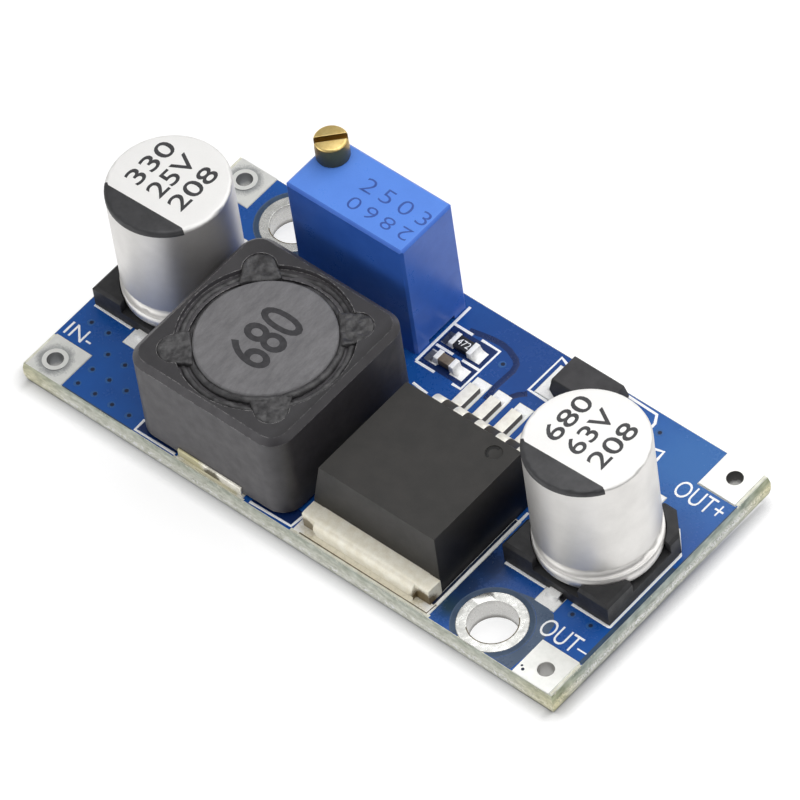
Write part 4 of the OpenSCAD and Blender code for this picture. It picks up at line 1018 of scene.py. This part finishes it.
canPaint = mixPaints(canLook)


def inkSegment(side, x, segment):
    # the dark segment printed on the lid, cut from a copy of the can and lifted by a film
    piece = mergedCopy(side + "_cap_can", side + "CapSegment")
    openMesh(piece)
    foot = canLook["top"] - segment["skirt"]
    for spot, way in (((x, segment["chord"], 0), (0, 1, 0)), ((x, 0, foot), (0, 0, -1))):
        pickAll()
        bpy.ops.mesh.bisect(plane_co=[value * mm for value in spot], plane_no=way, clear_outer=True)
    shape = bmesh.from_edit_mesh(piece.data)
    axis = Vector((x, 0, 0))
    inner = [face for face in shape.faces if face.normal.z < segment["upright"]
             and (face.calc_center_median() / mm - axis).xy.length < segment["inside"]]
    bmesh.ops.delete(shape, geom=inner, context="FACES")
    bmesh.update_edit_mesh(piece.data)
    pickAll()
    bpy.ops.transform.shrink_fatten(value=segment["lift"] * mm)
    closeMesh()
    skin = piece.modifiers.new("film", "SOLIDIFY")
    skin.thickness = segment["film"] * mm
    skin.offset = -1
    applyModifiers(piece)
    smoothShade(piece, canLook["smooth"])
    hand(piece, side + "CapSegment", canPaint["ink"])


for side in ("input", "output"):
    own = canLook[side]
    dress(side + "_cap_can", canPaint["metal"], degrees=canLook["smooth"], flatten=False)
    dress(side + "_cap_base", canPaint["base"], edge=0.04)
    dress(side + "_cap_leads", boardPaint["solder"])
    coverNode(side + "_cap_seal", canPaint["rubber"])
    coverNode(side + "_cap_winding", canPaint["paper"])
    inkSegment(side, own["x"], canLook["segment"])
    for row, text in enumerate(own["rows"]):
        middle = (own["x"] + canLook["rowShift"][0] + (row - 1) * canLook["rowPitch"],
                  canLook["rowShift"][1], canLook["top"])
        mark = {**canLook["row"], "text": text, "centre": middle}
        printText(side + "CapRow" + str(row + 1), mark, canPaint["ink"])
print("capacitors dressed")


# multi-turn trimmer

trimmerLook = {
    "case": paint(
        "trimmerBlue", (62, 111, 207), (52, 100, 195), 2.0, (0.1, 0.08), (0.26, 0.36), 0.003, specular=0.35,
        # painted light: the top is paler than the sides
        lid={"level": 12.35, "slope": 0.6, "light": (96, 146, 236), "dark": (84, 132, 222),
             "metallic": 0.0},
        rub={"colour": (150, 178, 236), "width": 0.1, "breakup": 0.35, "amount": 0.6}),
    "brass": paint(
        "turnedBrass", (246, 220, 150), (222, 192, 122), 0.5, (0.05, 0.2), (0.26, 0.42), 0.006,
        metallic=1.0,
        # painted shade: the screw's sides are darker, and darkest low down
        walls={"below": 20.0, "foot": (11.8, 13.6), "low": (92, 76, 50), "high": (150, 124, 74)}),
    "rotor": paint("rotorPlastic", (232, 226, 208), (214, 206, 186), 0.8, (0.1, 0.15), (0.45, 0.6), 0.006),
    "wiper": paint(
        "springStrip", (206, 176, 108), (178, 146, 84), 0.5, (0.06, 0.2), (0.25, 0.4), 0.005, metallic=1.0),
    "element": paint("ceramicPlate", (240, 238, 230), (224, 222, 212), 1.0, (0.1, 0.1), (0.5, 0.7), 0.005),
    "base": paint("castFill", (70, 100, 160), (52, 80, 138), 0.8, (0.1, 0.2), (0.4, 0.6), 0.02),
    "stamp": paint("stampBlue", (52, 86, 168), (44, 76, 156), 0.4, (0.07, 0.2), (0.5, 0.7), 0.004),
    "row": {"ink": 0.02, "bold": -0.012, "spacing": 1.35},
    "rows": (
        {"text": "2503", "length": 5.2, "height": 1.1, "centre": (-4.85, 7.6, 12.41)},
        {"text": "2860", "length": 4.9, "height": 0.95, "turn": 180, "centre": (-4.85, 6.0, 12.41)},
    ),
}
trimmerPaint = mixPaints(trimmerLook)
dress("trimmer_housing", trimmerPaint["case"], "trimmerCase", edge=0.06)
dress("trimmer_screw", trimmerPaint["brass"], edge=0.03, body="adjuster_screw")
dress("trimmer_pins", regulatorPaint["lead"])
coverNode("trimmer_seal", canPaint["rubber"])
for part in ("rotor", "wiper", "element", "base"):
    coverNode("trimmer_" + part, trimmerPaint[part])
for row, mark in enumerate(trimmerLook["rows"]):
    mark = {**trimmerLook["row"], **mark}
    printText("trimmerRow" + str(row + 1), mark, trimmerPaint["stamp"])
print("trimmer dressed")


# diode and chip parts

smallLook = {
    "diode": paint("diodeMoulding", (56, 55, 57), (44, 43, 45), 0.9, (0.06, 0.35), (0.45, 0.62), 0.012),
    "glaze": paint("resistorGlaze", (30, 30, 32), (22, 22, 24), 0.4, (0.06, 0.2), (0.25, 0.4), 0.004),
    "ceramic": paint("firedCeramic", (122, 110, 94), (100, 88, 74), 0.4, (0.06, 0.2), (0.4, 0.55), 0.006),
    "mark": {
        "text": "472", "length": 0.92, "height": 0.5, "ink": 0.01, "centre": (0.05, 6.92, 2.812),
        "bold": 0.0},
}
smallPaint = mixPaints(smallLook)
dress("diode_body", smallPaint["diode"], edge=0.07, steps=3)
dress("diode_leads", regulatorPaint["lead"], edge=0.04)
dress("resistor_body", smallPaint["glaze"], edge=0.02)
dress("resistor_terminals", boardPaint["solder"], "resistorEnds", edge=0.03)
dress("chip_cap_body", smallPaint["ceramic"], edge=0.04)
dress("chip_cap_terminals", boardPaint["solder"], "chipCapEnds", edge=0.05)
print("diode and chips dressed")


# white legend ink on the lacquer

legendLook = {
    "ink": paint("whiteInk", (255, 255, 255), (248, 249, 250), 0.3, (0.08, 0.06), (0.55, 0.75), 0.006),
    "level": 2.388, "height": 0.03, "width": 0.2,
    "lines": (
        ((-12.3, -9.13), (-12.3, -10.07), (-9.0, -10.04)),
        ((-2.84, -10.05), (0.45, -9.95), (0.55, -8.97)),
        ((-0.77, 2.94), (0.5, 2.8)),
        ((11.5, -9.98), (11.5, -0.54)),
        ((12.8, -4.25), (16.0, -4.25)),
        ((18.1, -4.25), (20.95, -4.25), (21.05, -4.2), (21.05, 2.45), (19.65, 3.97)),
        ((-20.96, -4.2), (-17.8, -4.25)),
        ((6.0, 9.7), (5.41, 9.91), (5.36, 6.76), (6.87, 6.73)),
        ((14.54, 7.8), (15.18, 7.98), (15.23, 7.16)),
        ((10.46, 10.02), (12.99, 9.95), (13.34, 9.34), (13.34, 8.86)),
        ((-1.77, 9.59), (-1.77, 4.4)),
        ((-1.75, 8.0), (-0.2, 8.0)),
        ((-1.57, 6.1), (-0.2, 6.1)),
        ((-1.77, 4.35), (-0.24, 4.35)),
        ((0.55, 6.1), (1.91, 6.1)),
        ((0.5, 8.02), (2.0, 8.0), (1.93, 4.3), (1.23, 4.31)),
    ),
    "word": {"height": 1.3, "ink": 0.02, "bold": -0.004},
    "words": (
        {"text": "IN-", "length": 2.05, "height": 1.05, "centre": (-20.1, -6.5)},
        {"text": "OUT\u2013", "length": 3.55, "centre": (19.42, -6.45)},
        {"text": "OUT+", "length": 3.6, "centre": (19.3, 6.45)},
        {"text": "IN+", "length": 2.2, "height": 1.05, "centre": (-20.1, 6.5)},
    ),
}
legendPaint = mixPaints(legendLook)
inkLines("legendLines", legendLook["lines"], legendLook["width"], legendLook["height"], legendLook["level"],
         legendPaint["ink"], "mask")
for number, word in enumerate(legendLook["words"]):
    mark = {**legendLook["word"], **word, "centre": (*word["centre"], legendLook["level"])}
    printText("legendWord" + str(number + 1), mark, legendPaint["ink"])
printText("resistorNumber", smallLook["mark"], legendPaint["ink"])
print("legend printed")


scene.view_settings.view_transform = "Standard"
